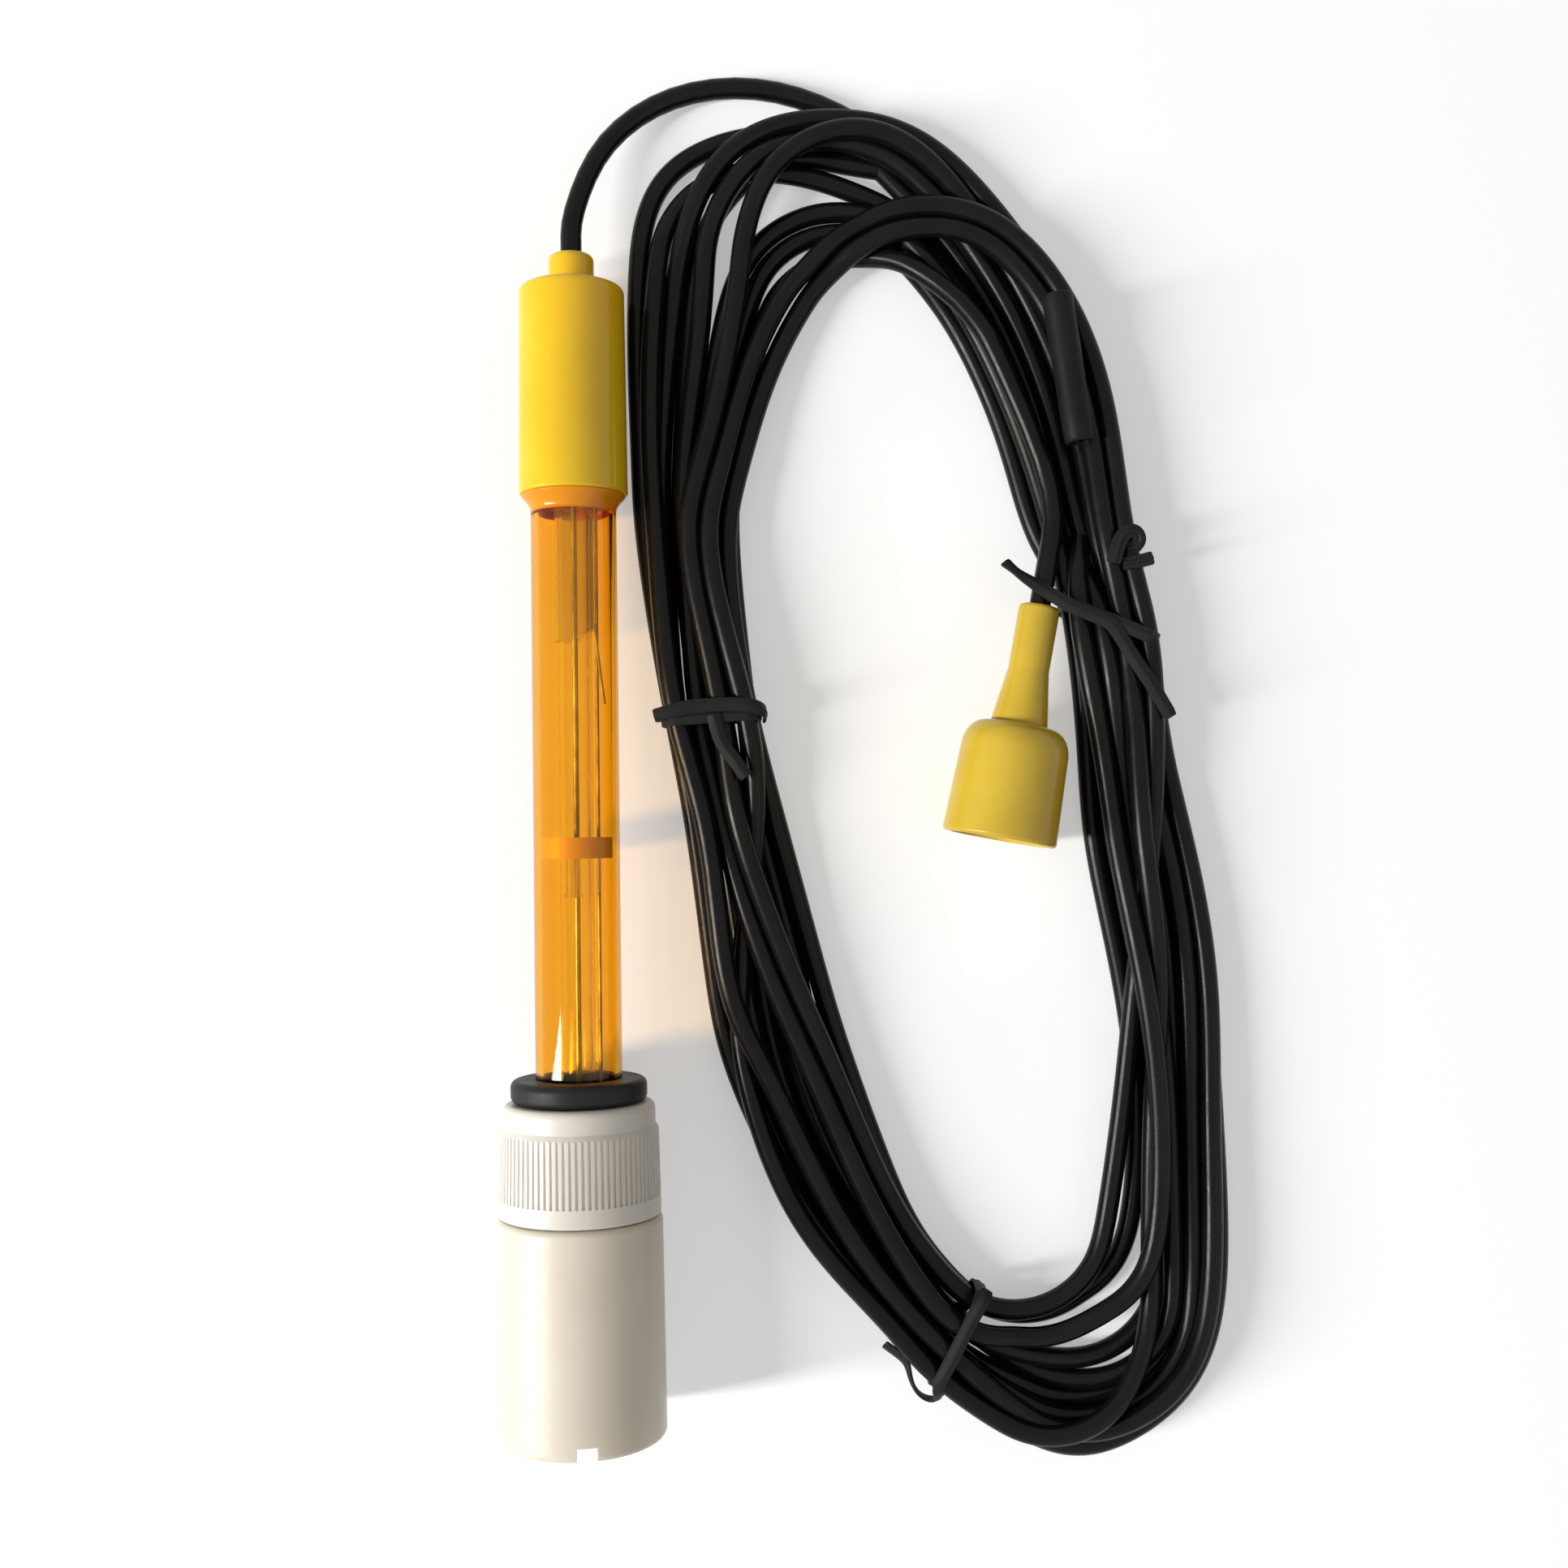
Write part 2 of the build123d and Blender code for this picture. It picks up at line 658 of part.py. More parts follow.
# Plug body: spring fingers, flange and back barrel
finger_r = finger_d / 2
flange_back_q = washer_q - nut_travel - nut_play
flange_front_q = flange_back_q - body_flange_thickness
body_back_q = nut_back_q + nut_play + snap_ring_thickness
insulator_r = insulator_d / 2
with BuildPart() as plug_body:
    with BuildSketch(connector_plane):
        Polygon(
            (finger_r - finger_wall, finger_inset),
            (finger_r, finger_inset),
            (finger_r, flange_front_q),
            (body_flange_d / 2, flange_front_q),
            (body_flange_d / 2, flange_back_q),
            (body_back_r, flange_back_q),
            (body_back_r, nut_back_q + nut_play),
            (body_back_r - snap_ring_groove, nut_back_q + nut_play),
            (body_back_r - snap_ring_groove, body_back_q),
            (insulator_r + glue_gap, body_back_q),
            (insulator_r + glue_gap, flange_front_q),
            (finger_r - finger_wall, flange_front_q),
            align=None,
        )
    revolve(axis=connector_axis)
    with BuildSketch(connector_section(finger_inset - running_gap)):
        with PolarLocations(0, finger_slot_count // 2, angular_range=180, start_angle=45):
            Rectangle(finger_d + overrun, finger_slot_width)
    extrude(amount=finger_slot_length, mode=Mode.SUBTRACT)
plug_body.part.label = "plug_body"
export_step(plug_body.part, "parts/plug_body.step")

# Snap ring behind the nut
with BuildPart() as snap_ring:
    with BuildSketch(connector_section(nut_back_q + nut_play)):
        Circle(snap_ring_d / 2)
        Circle(body_back_r - snap_ring_groove + glue_gap, mode=Mode.SUBTRACT)
        with Locations((0, -snap_ring_d / 2)):
            Rectangle(snap_ring_opening, snap_ring_d / 2, mode=Mode.SUBTRACT)
    extrude(amount=snap_ring_thickness)
snap_ring.part.label = "snap_ring"
export_step(snap_ring.part, "parts/snap_ring.step")

# Insulator and centre pin
insulator_front_q = flange_front_q - insulator_nose_length
with BuildPart() as insulator:
    with BuildSketch(connector_plane):
        Polygon(
            (pin_d / 2 + glue_gap, insulator_front_q),
            (insulator_nose_d / 2, insulator_front_q),
            (insulator_nose_d / 2, flange_front_q),
            (insulator_r, flange_front_q),
            (insulator_r, body_back_q),
            (pin_d / 2 + glue_gap, body_back_q),
            align=None,
        )
    revolve(axis=connector_axis)
insulator.part.label = "insulator"
export_step(insulator.part, "parts/insulator.step")

with BuildPart() as centre_pin:
    with BuildSketch(connector_plane) as pin_section:
        Polygon(
            (0, pin_inset),
            (pin_d / 2, pin_inset),
            (pin_d / 2, body_back_q),
            (0, body_back_q),
            align=None,
        )
        fillet(corner(pin_section, pin_d / 2, pin_inset), pin_d / 2 - pin_tip_flat)
    revolve(axis=connector_axis)
centre_pin.part.label = "centre_pin"
export_step(centre_pin.part, "parts/centre_pin.step")

# Gasket round the root of the fingers
with BuildPart() as front_gasket:
    with BuildSketch(connector_plane):
        ring_of(gasket_d / 2, finger_r + glue_gap, flange_front_q - gasket_thickness, flange_front_q)
    revolve(axis=connector_axis)
front_gasket.part.label = "front_gasket"
export_step(front_gasket.part, "parts/front_gasket.step")

# Crimp ferrule on the cable, behind the plug body
ferrule_q = body_back_q
ferrule_end_q = ferrule_q + ferrule_length
with BuildPart() as crimp_ferrule:
    with BuildSketch(connector_plane):
        ring_of(ferrule_d / 2, cable_bore_r, ferrule_q, ferrule_end_q)
    revolve(axis=connector_axis)
crimp_ferrule.part.label = "crimp_ferrule"
export_step(crimp_ferrule.part, "parts/crimp_ferrule.step")

# Strain relief, from the plug body to the end of the neck
relief_q = body_back_q + relief_gap
cone_q = relief_q + relief_straight
neck_q = cone_q + relief_cone
with BuildPart() as strain_relief:
    with BuildSketch(connector_plane) as relief_section:
        Polygon(
            (ferrule_d / 2 + glue_gap, relief_q),
            (relief_r, relief_q),
            (relief_r, cone_q),
            (relief_neck_d / 2, neck_q),
            (relief_neck_d / 2, connector_length),
            (cable_bore_r, connector_length),
            (cable_bore_r, ferrule_end_q + relief_bore_cone),
            (ferrule_d / 2 + glue_gap, ferrule_end_q),
            align=None,
        )
        fillet(corner(relief_section, relief_r, cone_q), relief_shoulder_r)
        fillet(corner(relief_section, relief_neck_d / 2, neck_q), relief_hollow_r)
        fillet(corner(relief_section, relief_neck_d / 2, connector_length), relief_end_r)
    revolve(axis=connector_axis)
strain_relief.part.label = "strain_relief"
export_step(strain_relief.part, "parts/strain_relief.step")


def cable_path_radii(points):
    """The bend radius at each inner point of a cable's route: as large as its two runs allow."""
    radii = []
    for before, here, after in zip(points, points[1:], points[2:]):
        arriving = here - before
        leaving = after - here
        half_turn = radians(arriving.get_angle(leaving)) / 2
        radii.append(bend_share * min(arriving.length, leaving.length) / tan(half_turn))
    return radii


# Free cable from the yellow cap: out of the nub, down to the floor and round to the coil
cable_r = cable_d / 2
lead_points = [
    Vector(*on_electrode(nub_a - cable_in_cap)),
    Vector(*on_electrode(nub_a + cable_out_of_cap)),
    Vector(4.4, 99.6, 4.3),
    Vector(14.0, 107.0, 1.9),
    Vector(26.5, 108.3, 1.6),
    Vector(38.5, 104.2, 1.8),
    Vector(48.5, 96.0, 3.0),
]
lead_radii = cable_path_radii(lead_points)
print("cable lead radii", [round(r, 1) for r in lead_radii])
with BuildPart() as cable_lead:
    with BuildLine() as lead_line:
        FilletPolyline(*lead_points, radius=lead_radii)
    with BuildSketch(Plane(origin=lead_points[0], z_dir=lead_points[1] - lead_points[0])):
        Circle(cable_r)
    sweep(path=lead_line.line)
print("cable lead length", round(lead_line.wires()[0].length, 1), "volume", round(cable_lead.part.volume, 1))
cable_lead.part.label = "cable_lead"
export_step(cable_lead.part, "parts/cable_lead.step")

# Cable between the connector and the coil
tail_points = [
    on_connector(connector_length - cable_in_relief),
    on_connector(connector_length + cable_out_of_relief),
    Vector(68.6, 47.4, 6.2),
]
tail_radii = cable_path_radii(tail_points)
print("cable tail radii", [round(r, 1) for r in tail_radii])
with BuildPart() as cable_tail:
    with BuildLine() as tail_line:
        FilletPolyline(*tail_points, radius=tail_radii)
    with BuildSketch(Plane(origin=tail_points[0], z_dir=tail_points[1] - tail_points[0])):
        Circle(cable_r)
    sweep(path=tail_line.line)
print("cable tail length", round(tail_line.wires()[0].length, 1), "volume", round(cable_tail.part.volume, 1))
cable_tail.part.label = "cable_tail"
export_step(cable_tail.part, "parts/cable_tail.step")

# Where each tie goes round the coil: the middle of the limb, the way across it and the width of the limb,
# then the route of the loose end, which lies on top of the coil
ties = {
    "tie_left": ((18.7, 17.8), (15.2, -1.2), 13.2, [(18.6, 17.8), (20.2, 14.6), (23.7, 8.4)]),
    "tie_right": (
        (75.7, 29.4),
        (4.6, -1.7),
        13.4,
        [(60.8, 37.6), (63.8, 36.5), (69.2, 31.7), (73.8, 30.0), (83.4, 16.0)],
    ),
    "tie_bottom": ((52.6, -72.0), (5.9, 12.5), 13.9, [(50.8, -76.6), (48.4, -75.4), (42.4, -71.4)]),
}


def tie_plane(middle, across):
    """A plane across a limb of the coil, with X along the given way and Y up."""
    way = Vector(*across, 0).normalized()
    return Plane(origin=(*middle, 0), x_dir=way, z_dir=way.cross(Vector(0, 0, 1)))


# Coil of the rest of the cable, as one closed shape, with a groove under each tie and one for the sleeve
outer_outline = [
    (8.6, 79.0), (8.2, 66.0), (8.2, 52.0), (9.0, 39.5), (12.0, 21.0), (15.2, 0.0), (18.0, -22.0),
    (20.9, -36.5), (29.2, -55.0), (41.2, -69.0), (51.7, -79.6), (63.0, -87.2), (71.0, -88.9),
    (80.5, -85.0), (88.0, -76.0), (90.6, -60.0), (90.2, -40.0), (89.6, -21.0), (86.8, -3.0),
    (83.8, 12.0), (81.6, 26.0), (78.4, 42.0), (76.0, 60.0), (70.7, 75.5), (61.5, 88.5), (51.0, 98.6),
    (39.5, 102.6), (26.0, 101.8), (15.0, 96.6), (9.9, 88.6),
]
inner_outline = [
    (42.6, 83.0), (36.6, 80.0), (31.8, 73.6), (27.3, 64.6), (23.9, 53.3), (22.8, 42.0), (23.4, 28.0),
    (25.6, 14.0), (30.8, -4.0), (35.0, -20.3), (40.5, -39.6), (49.0, -58.6), (55.0, -65.6),
    (61.6, -67.8), (68.6, -63.2), (73.8, -50.0), (76.2, -30.0), (75.2, -14.0), (72.8, 2.0), (71.8, 16.0),
    (70.6, 29.0), (67.0, 42.6), (62.9, 55.5), (56.2, 70.2), (49.2, 79.6),
]
shrink_way = Vector(*shrink_end) - Vector(*shrink_start)
with BuildPart() as cable_coil:
    with BuildSketch():
        with BuildLine():
            Spline(*outer_outline, periodic=True)
        make_face()
        with BuildLine():
            Spline(*inner_outline, periodic=True)
        make_face(mode=Mode.SUBTRACT)
    extrude(amount=coil_height)
    chamfer(cable_coil.faces().sort_by(Axis.Z)[-1].edges(), coil_edge)
    for middle, across, limb_width, loose_end in ties.values():
        with BuildSketch(tie_plane(middle, across)):
            with Locations((0, tie_groove_depth / 2)):
                Rectangle(limb_width + 2 * tie_groove_reach, tie_groove_depth)
        extrude(amount=tie_width / 2 + tie_groove_side, both=True, mode=Mode.SUBTRACT)
    with BuildSketch(Plane(origin=(*shrink_start, coil_height), z_dir=shrink_way)):
        Circle(shrink_d / 2 + loose_gap)
    extrude(amount=shrink_way.length, mode=Mode.SUBTRACT)
cable_coil.part.label = "cable_coil"
export_step(cable_coil.part, "parts/cable_coil.step")

# Heat-shrink sleeve that lies in the top of the coil
with BuildPart() as shrink_sleeve:
    with BuildSketch(Plane(origin=(*shrink_start, coil_height), z_dir=shrink_way)):
        Circle(shrink_d / 2)
        Circle(cable_r + running_gap, mode=Mode.SUBTRACT)
    extrude(amount=shrink_way.length)
shrink_sleeve.part.label = "shrink_sleeve"
export_step(shrink_sleeve.part, "parts/shrink_sleeve.step")

# Twist ties: a flat band round the limb and a loose end on top
tie_top = coil_height + running_gap + tie_thickness
for tie_name, (middle, across, limb_width, loose_end) in ties.items():
    inside_width = limb_width + 2 * tie_clearance
    inside_height = tie_top - 2 * tie_thickness
    inside_r = tie_corner_r - tie_thickness
    with BuildPart() as tie:
        with BuildSketch(tie_plane(middle, across)):
            with Locations((0, tie_top / 2)):
                RectangleRounded(inside_width + 2 * tie_thickness, tie_top, tie_corner_r)
            with Locations((0, tie_top / 2)):
                RectangleRounded(inside_width, inside_height, inside_r, mode=Mode.SUBTRACT)
        extrude(amount=tie_width / 2, both=True)
        with BuildSketch(Plane.XY.offset(tie_top - tie_thickness)):
            with BuildLine():
                Polyline(*loose_end)
            trace(line_width=tie_width)
        extrude(amount=tie_thickness)
    tie.part.label = tie_name
    export_step(tie.part, f"parts/{tie_name}.step")
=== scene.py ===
import math

import bpy
import numpy as np
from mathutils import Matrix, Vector


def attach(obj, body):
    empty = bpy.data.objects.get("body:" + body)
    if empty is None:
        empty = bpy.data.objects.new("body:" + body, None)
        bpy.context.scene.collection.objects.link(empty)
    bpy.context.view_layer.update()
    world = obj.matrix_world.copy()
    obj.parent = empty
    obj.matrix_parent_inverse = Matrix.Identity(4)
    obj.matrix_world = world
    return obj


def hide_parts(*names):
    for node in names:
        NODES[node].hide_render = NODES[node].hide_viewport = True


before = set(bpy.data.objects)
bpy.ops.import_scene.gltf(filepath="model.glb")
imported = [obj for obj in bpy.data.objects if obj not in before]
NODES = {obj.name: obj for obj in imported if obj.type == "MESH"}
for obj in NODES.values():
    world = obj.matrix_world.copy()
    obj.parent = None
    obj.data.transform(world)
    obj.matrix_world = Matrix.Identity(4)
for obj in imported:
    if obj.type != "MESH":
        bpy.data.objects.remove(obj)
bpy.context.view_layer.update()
MM = 0.001

# Camera and light

scene = bpy.context.scene
scene.view_settings.view_transform = "Standard"

SENSOR_WIDTH = 36.0
LENS = 39.48
CAMERA_PLACE = (0.02906, 0.00726, 0.250)
CAMERA_TURN = -0.01343
cam_data = bpy.data.cameras.new("camera")
cam_data.sensor_width = SENSOR_WIDTH
cam_data.lens = LENS
cam = bpy.data.objects.new("camera", cam_data)
cam.location = CAMERA_PLACE
cam.rotation_euler = (0.0, 0.0, CAMERA_TURN)
scene.collection.objects.link(cam)
scene.camera = cam


LAMP_AIM = (0.03, 0.0, 0.0)


def area_light(name, place, size, watts, colour):
    """A rectangular lamp that points at the middle of the part."""
    data = bpy.data.lights.new(name, "AREA")
    data.shape = "RECTANGLE"
    data.size, data.size_y = size
    data.energy = watts
    data.color = colour
    lamp = bpy.data.objects.new(name, data)
    lamp.location = place
    lamp.rotation_euler = (Vector(LAMP_AIM) - Vector(place)).to_track_quat("-Z", "Y").to_euler()
    scene.collection.objects.link(lamp)


area_light("key", (-1.42, -0.32, 0.92), (0.22, 1.00), 33.5, (1.0, 0.965, 0.915))
area_light("fill", (1.20, -0.60, 1.40), (1.20, 1.20), 2.0, (1.0, 0.97, 0.94))

# Strength and tint of the world on what it lights. Where it is seen it is plain white.
ROOM_LIGHT = 0.29
ROOM_TINT = (1.0, 0.93, 0.84, 1.0)
WHITE = (1.0, 1.0, 1.0, 1.0)


def seen(tree):
    """A value of 1 on rays that look at a thing directly, in a mirror or through glass."""
    path = tree.nodes.new("ShaderNodeLightPath")
    total = path.outputs["Is Camera Ray"]
    for other in ("Is Glossy Ray", "Is Transmission Ray"):
        add = tree.nodes.new("ShaderNodeMath")
        add.operation = "MAXIMUM"
        tree.links.new(total, add.inputs[0])
        tree.links.new(path.outputs[other], add.inputs[1])
        total = add.outputs["Value"]
    return total


world = bpy.data.worlds.new("world")
scene.world = world
world.use_nodes = True
background = world.node_tree.nodes["Background"]
in_view = seen(world.node_tree)
level = world.node_tree.nodes.new("ShaderNodeMapRange")
level.inputs["To Min"].default_value = ROOM_LIGHT
world.node_tree.links.new(in_view, level.inputs["Value"])
world.node_tree.links.new(level.outputs["Result"], background.inputs["Strength"])
tint = world.node_tree.nodes.new("ShaderNodeMixRGB")
tint.inputs["Color1"].default_value = ROOM_TINT
tint.inputs["Color2"].default_value = WHITE
world.node_tree.links.new(in_view, tint.inputs["Fac"])
world.node_tree.links.new(tint.outputs["Color"], background.inputs["Color"])

# Material helpers


# The part of a noise's range that holds nearly all of its values
NOISE_LOW, NOISE_HIGH = 0.3, 0.7


class Mat:
    """A node material, with short calls for the nodes that the materials here share."""

    def __init__(self, name, colour, rough=0.5, **sockets):
        self.material = bpy.data.materials.new(name)
        self.material.use_nodes = True
        self.tree = self.material.node_tree
        self.shader = self.tree.nodes["Principled BSDF"]
        self.set("Base Color", (*colour, 1.0))
        self.set("Roughness", rough)
        for key, value in sockets.items():
            self.set(key.replace("_", " "), value)
        self.where = self.tree.nodes.new("ShaderNodeTexCoord").outputs["Object"]

    def set(self, socket, value):
        self.shader.inputs[socket].default_value = value

    def node(self, kind, **values):
        made = self.tree.nodes.new("ShaderNode" + kind)
        for key, value in values.items():
            setattr(made, key, value)
        return made

    def link(self, out, into):
        self.tree.links.new(out, into)

    def noise(self, scale, detail=3.0, stretch=None):
        made = self.node("TexNoise")
        made.inputs["Scale"].default_value = scale
        made.inputs["Detail"].default_value = detail
        if stretch:
            mapping = self.node("Mapping")
            mapping.inputs["Scale"].default_value = stretch
            self.link(self.where, mapping.inputs["Vector"])
            self.link(mapping.outputs["Vector"], made.inputs["Vector"])
        else:
            self.link(self.where, made.inputs["Vector"])
        return made.outputs["Fac"]

    def mottle(self, value, dark, pale):
        """Base colour that wanders between two near tones."""
        made = self.node("ValToRGB")
        for element, place, colour in zip(made.color_ramp.elements, (NOISE_LOW, NOISE_HIGH), (dark, pale)):
            element.position = place
            element.color = (*colour, 1.0)
        self.link(value, made.inputs["Fac"])
        self.link(made.outputs["Color"], self.shader.inputs["Base Color"])

    def grey(self, value, low, high, bottom, top):
        """The value, moved from the range low to high into the range bottom to top."""
        made = self.node("MapRange")
        for socket, number in zip(("From Min", "From Max", "To Min", "To Max"), (low, high, bottom, top)):
            made.inputs[socket].default_value = number
        self.link(value, made.inputs["Value"])
        return made.outputs["Result"]

    def rough(self, value, low, high):
        self.link(self.grey(value, NOISE_LOW, NOISE_HIGH, low, high), self.shader.inputs["Roughness"])

    def bump(self, value, distance, strength=1.0):
        made = self.node("Bump")
        made.inputs["Distance"].default_value = distance
        made.inputs["Strength"].default_value = strength
        self.link(value, made.inputs["Height"])
        self.link(made.outputs["Normal"], self.shader.inputs["Normal"])

    def clear(self, tint):
        """Lets lamp light through, tinted, so that what stands inside or behind is lit."""
        path = self.node("LightPath")
        either = self.node("Math", operation="MAXIMUM")
        self.link(path.outputs["Is Shadow Ray"], either.inputs[0])
        self.link(path.outputs["Is Diffuse Ray"], either.inputs[1])
        through = self.node("BsdfTransparent")
        through.inputs["Color"].default_value = (*tint, 1.0)
        mix = self.node("MixShader")
        self.link(either.outputs["Value"], mix.inputs["Fac"])
        self.link(self.shader.outputs["BSDF"], mix.inputs[1])
        self.link(through.outputs["BSDF"], mix.inputs[2])
        self.link(mix.outputs["Shader"], self.tree.nodes["Material Output"].inputs["Surface"])


def dress(obj, mat):
    """Gives every material slot of an object the one finish."""
    if obj.material_slots:
        for slot in obj.material_slots:
            slot.material = mat.material
    else:
        obj.data.materials.append(mat.material)


# Floor

FLOOR_HALF = 3.0
FLOOR_DROP = 0.00005
FLOOR_LIFT = 0.40
floor_corners = [(x * FLOOR_HALF, y * FLOOR_HALF, 0) for x, y in ((-1, -1), (1, -1), (1, 1), (-1, 1))]
floor_mesh = bpy.data.meshes.new("floor")
floor_mesh.from_pydata(floor_corners, [], [(0, 1, 2, 3)])
floor = bpy.data.objects.new("floor", floor_mesh)
floor.location = (0, 0, -FLOOR_DROP)
scene.collection.objects.link(floor)
floor_mat = Mat("floor", (0.745, 0.76, 0.79), 0.9, Specular_IOR_Level=0.1)
glow = floor_mat.node("Emission")
glow.inputs["Color"].default_value = WHITE
lift = floor_mat.grey(seen(floor_mat.tree), 0.0, 1.0, 0.0, FLOOR_LIFT)
floor_mat.link(lift, glow.inputs["Strength"])
both = floor_mat.node("AddShader")
floor_mat.link(floor_mat.shader.outputs["BSDF"], both.inputs[0])
floor_mat.link(glow.outputs["Emission"], both.inputs[1])
floor_mat.link(both.outputs["Shader"], floor_mat.tree.nodes["Material Output"].inputs["Surface"])
dress(floor, floor_mat)

# Finishes


TONE_SCALE = 90.0
GLOSS_SCALE = 260.0
# Stretch of the noise along and across the axis: rings left by a lathe, and streaks left by a drawing die
LATHE_RINGS = (30.0, 2600.0, 30.0)
DRAWN_STREAKS = (900.0, 60.0, 900.0)


def moulded(name, dark, pale, rough, grain, depth, **sockets):
    """Moulded plastic or rubber: slow tone and gloss changes, and a fine surface grain."""
    mat = Mat(name, pale, rough[0], **sockets)
    mat.mottle(mat.noise(TONE_SCALE), dark, pale)
    mat.rough(mat.noise(GLOSS_SCALE), *rough)
    mat.bump(mat.noise(grain, 2.0), depth, 0.35)
    return mat


def metal(name, dark, pale, rough, around):
    """Turned metal: fine rings round the axis, and slightly duller patches."""
    mat = Mat(name, pale, rough[0], Metallic=1.0)
    mat.mottle(mat.noise(160.0), dark, pale)
    mat.rough(mat.noise(420.0, 4.0), *rough)
    mat.bump(mat.noise(1.0, 2.0, around), 0.00002, 0.3)
    return mat


# Light under the skin of the white plastics spreads nearly the same in all colours
EVEN = (1.0, 0.9, 0.8)
yellow_cap = moulded(
    "yellow_cap", (0.95, 0.565, 0.012), (0.98, 0.62, 0.016), (0.12, 0.17), 2600.0, 0.00002,
    Subsurface_Weight=0.35, Subsurface_Scale=0.004, Specular_IOR_Level=0.30,
)
yellow_vinyl = moulded(
    "yellow_vinyl", (0.60, 0.42, 0.032), (0.71, 0.51, 0.045), (0.18, 0.27), 1500.0, 0.00003,
    Subsurface_Weight=0.06, Subsurface_Scale=0.002, Specular_IOR_Level=0.35,
)
black_rubber = moulded(
    "black_rubber", (0.009, 0.009, 0.009), (0.016, 0.0155, 0.015), (0.42, 0.56), 1800.0, 0.00004,
    Specular_IOR_Level=0.2,
)
white_lid = moulded(
    "white_lid", (0.815, 0.79, 0.745), (0.845, 0.825, 0.785), (0.32, 0.42), 2200.0, 0.00003,
    Subsurface_Weight=0.35, Subsurface_Radius=EVEN, Subsurface_Scale=0.002, Specular_IOR_Level=0.35,
)
white_bottle = moulded(
    "white_bottle", (0.79, 0.735, 0.635), (0.83, 0.78, 0.69), (0.30, 0.42), 700.0, 0.00006,
    Subsurface_Weight=0.15, Subsurface_Radius=EVEN, Subsurface_Scale=0.003, Specular_IOR_Level=0.35,
)
insulator_mat = moulded(
    "waxy_insulator", (0.80, 0.79, 0.76), (0.88, 0.87, 0.85), (0.36, 0.46), 1500.0, 0.00002,
    Subsurface_Weight=0.15, Subsurface_Scale=0.001,
)
ceramic = moulded("porous_ceramic", (0.72, 0.69, 0.62), (0.86, 0.84, 0.78), (0.7, 0.85), 3500.0, 0.00008)
gasket_mat = moulded("red_gasket", (0.36, 0.028, 0.016), (0.50, 0.045, 0.028), (0.45, 0.58), 1800.0, 0.00003)
separator_mat = moulded("separator", (0.90, 0.56, 0.13), (0.95, 0.64, 0.18), (0.42, 0.55), 1400.0, 0.00003)
resin = moulded(
    "cast_resin", (0.80, 0.27, 0.004), (0.88, 0.33, 0.007), (0.12, 0.20), 300.0, 0.00004,
    Subsurface_Weight=0.08, Subsurface_Scale=0.002, Specular_IOR_Level=0.25,
)
shrink_mat = moulded(
    "shrink_tube", (0.008, 0.0085, 0.009), (0.013, 0.0135, 0.014), (0.42, 0.55), 1100.0, 0.00008,
    Specular_IOR_Level=0.1,
)
tie_mat = moulded(
    "tie_ribbon", (0.014, 0.015, 0.015), (0.023, 0.025, 0.025), (0.42, 0.55), 2400.0, 0.00003,
    Specular_IOR_Level=0.1,
)
nickel = metal("nickel", (0.60, 0.57, 0.53), (0.74, 0.72, 0.68), (0.16, 0.30), LATHE_RINGS)
gold = metal("gold", (0.82, 0.55, 0.17), (0.94, 0.68, 0.26), (0.14, 0.24), LATHE_RINGS)
silver = metal("silver_wire", (0.10, 0.085, 0.07), (0.42, 0.39, 0.35), (0.34, 0.52), DRAWN_STREAKS)

tube_mat = Mat("amber_tube", (0.97, 0.72, 0.10), 0.02, Transmission_Weight=1.0, IOR=1.30)
tube_mat.mottle(tube_mat.noise(60.0), (0.965, 0.70, 0.09), (0.975, 0.74, 0.12))
wall = tube_mat.node("VolumeAbsorption")
wall.inputs["Color"].default_value = (0.93, 0.66, 0.10, 1.0)
wall.inputs["Density"].default_value = 480.0
tube_mat.link(wall.outputs["Volume"], tube_mat.tree.nodes["Material Output"].inputs["Volume"])
tube_mat.rough(tube_mat.noise(180.0), 0.02, 0.06)
tube_mat.clear((0.99, 0.94, 0.80))

glass = Mat("clear_glass", (0.96, 0.94, 0.90), 0.02, Transmission_Weight=1.0, IOR=1.47)
glass.mottle(glass.noise(80.0), (0.95, 0.93, 0.88), (0.97, 0.96, 0.93))
glass.bump(glass.noise(60.0), 0.00002, 0.2)
glass.clear((0.95, 0.94, 0.90))

soft_clear = Mat("clear_sleeve", (0.93, 0.89, 0.80), 0.05, Transmission_Weight=0.94, IOR=1.52)
soft_clear.mottle(soft_clear.noise(120.0), (0.92, 0.87, 0.76), (0.96, 0.93, 0.86))
soft_clear.rough(soft_clear.noise(300.0), 0.03, 0.09)
soft_clear.clear((0.93, 0.90, 0.82))

cable_mat = Mat("cable_jacket", (0.006, 0.006, 0.0063), 0.24, Specular_IOR_Level=0.12)
cable_mat.mottle(cable_mat.noise(140.0), (0.0048, 0.0048, 0.0050), (0.0078, 0.0078, 0.0080))
cable_mat.rough(cable_mat.noise(500.0, 4.0), 0.20, 0.30)
cable_mat.bump(cable_mat.noise(2600.0, 2.0), 0.00002, 0.3)

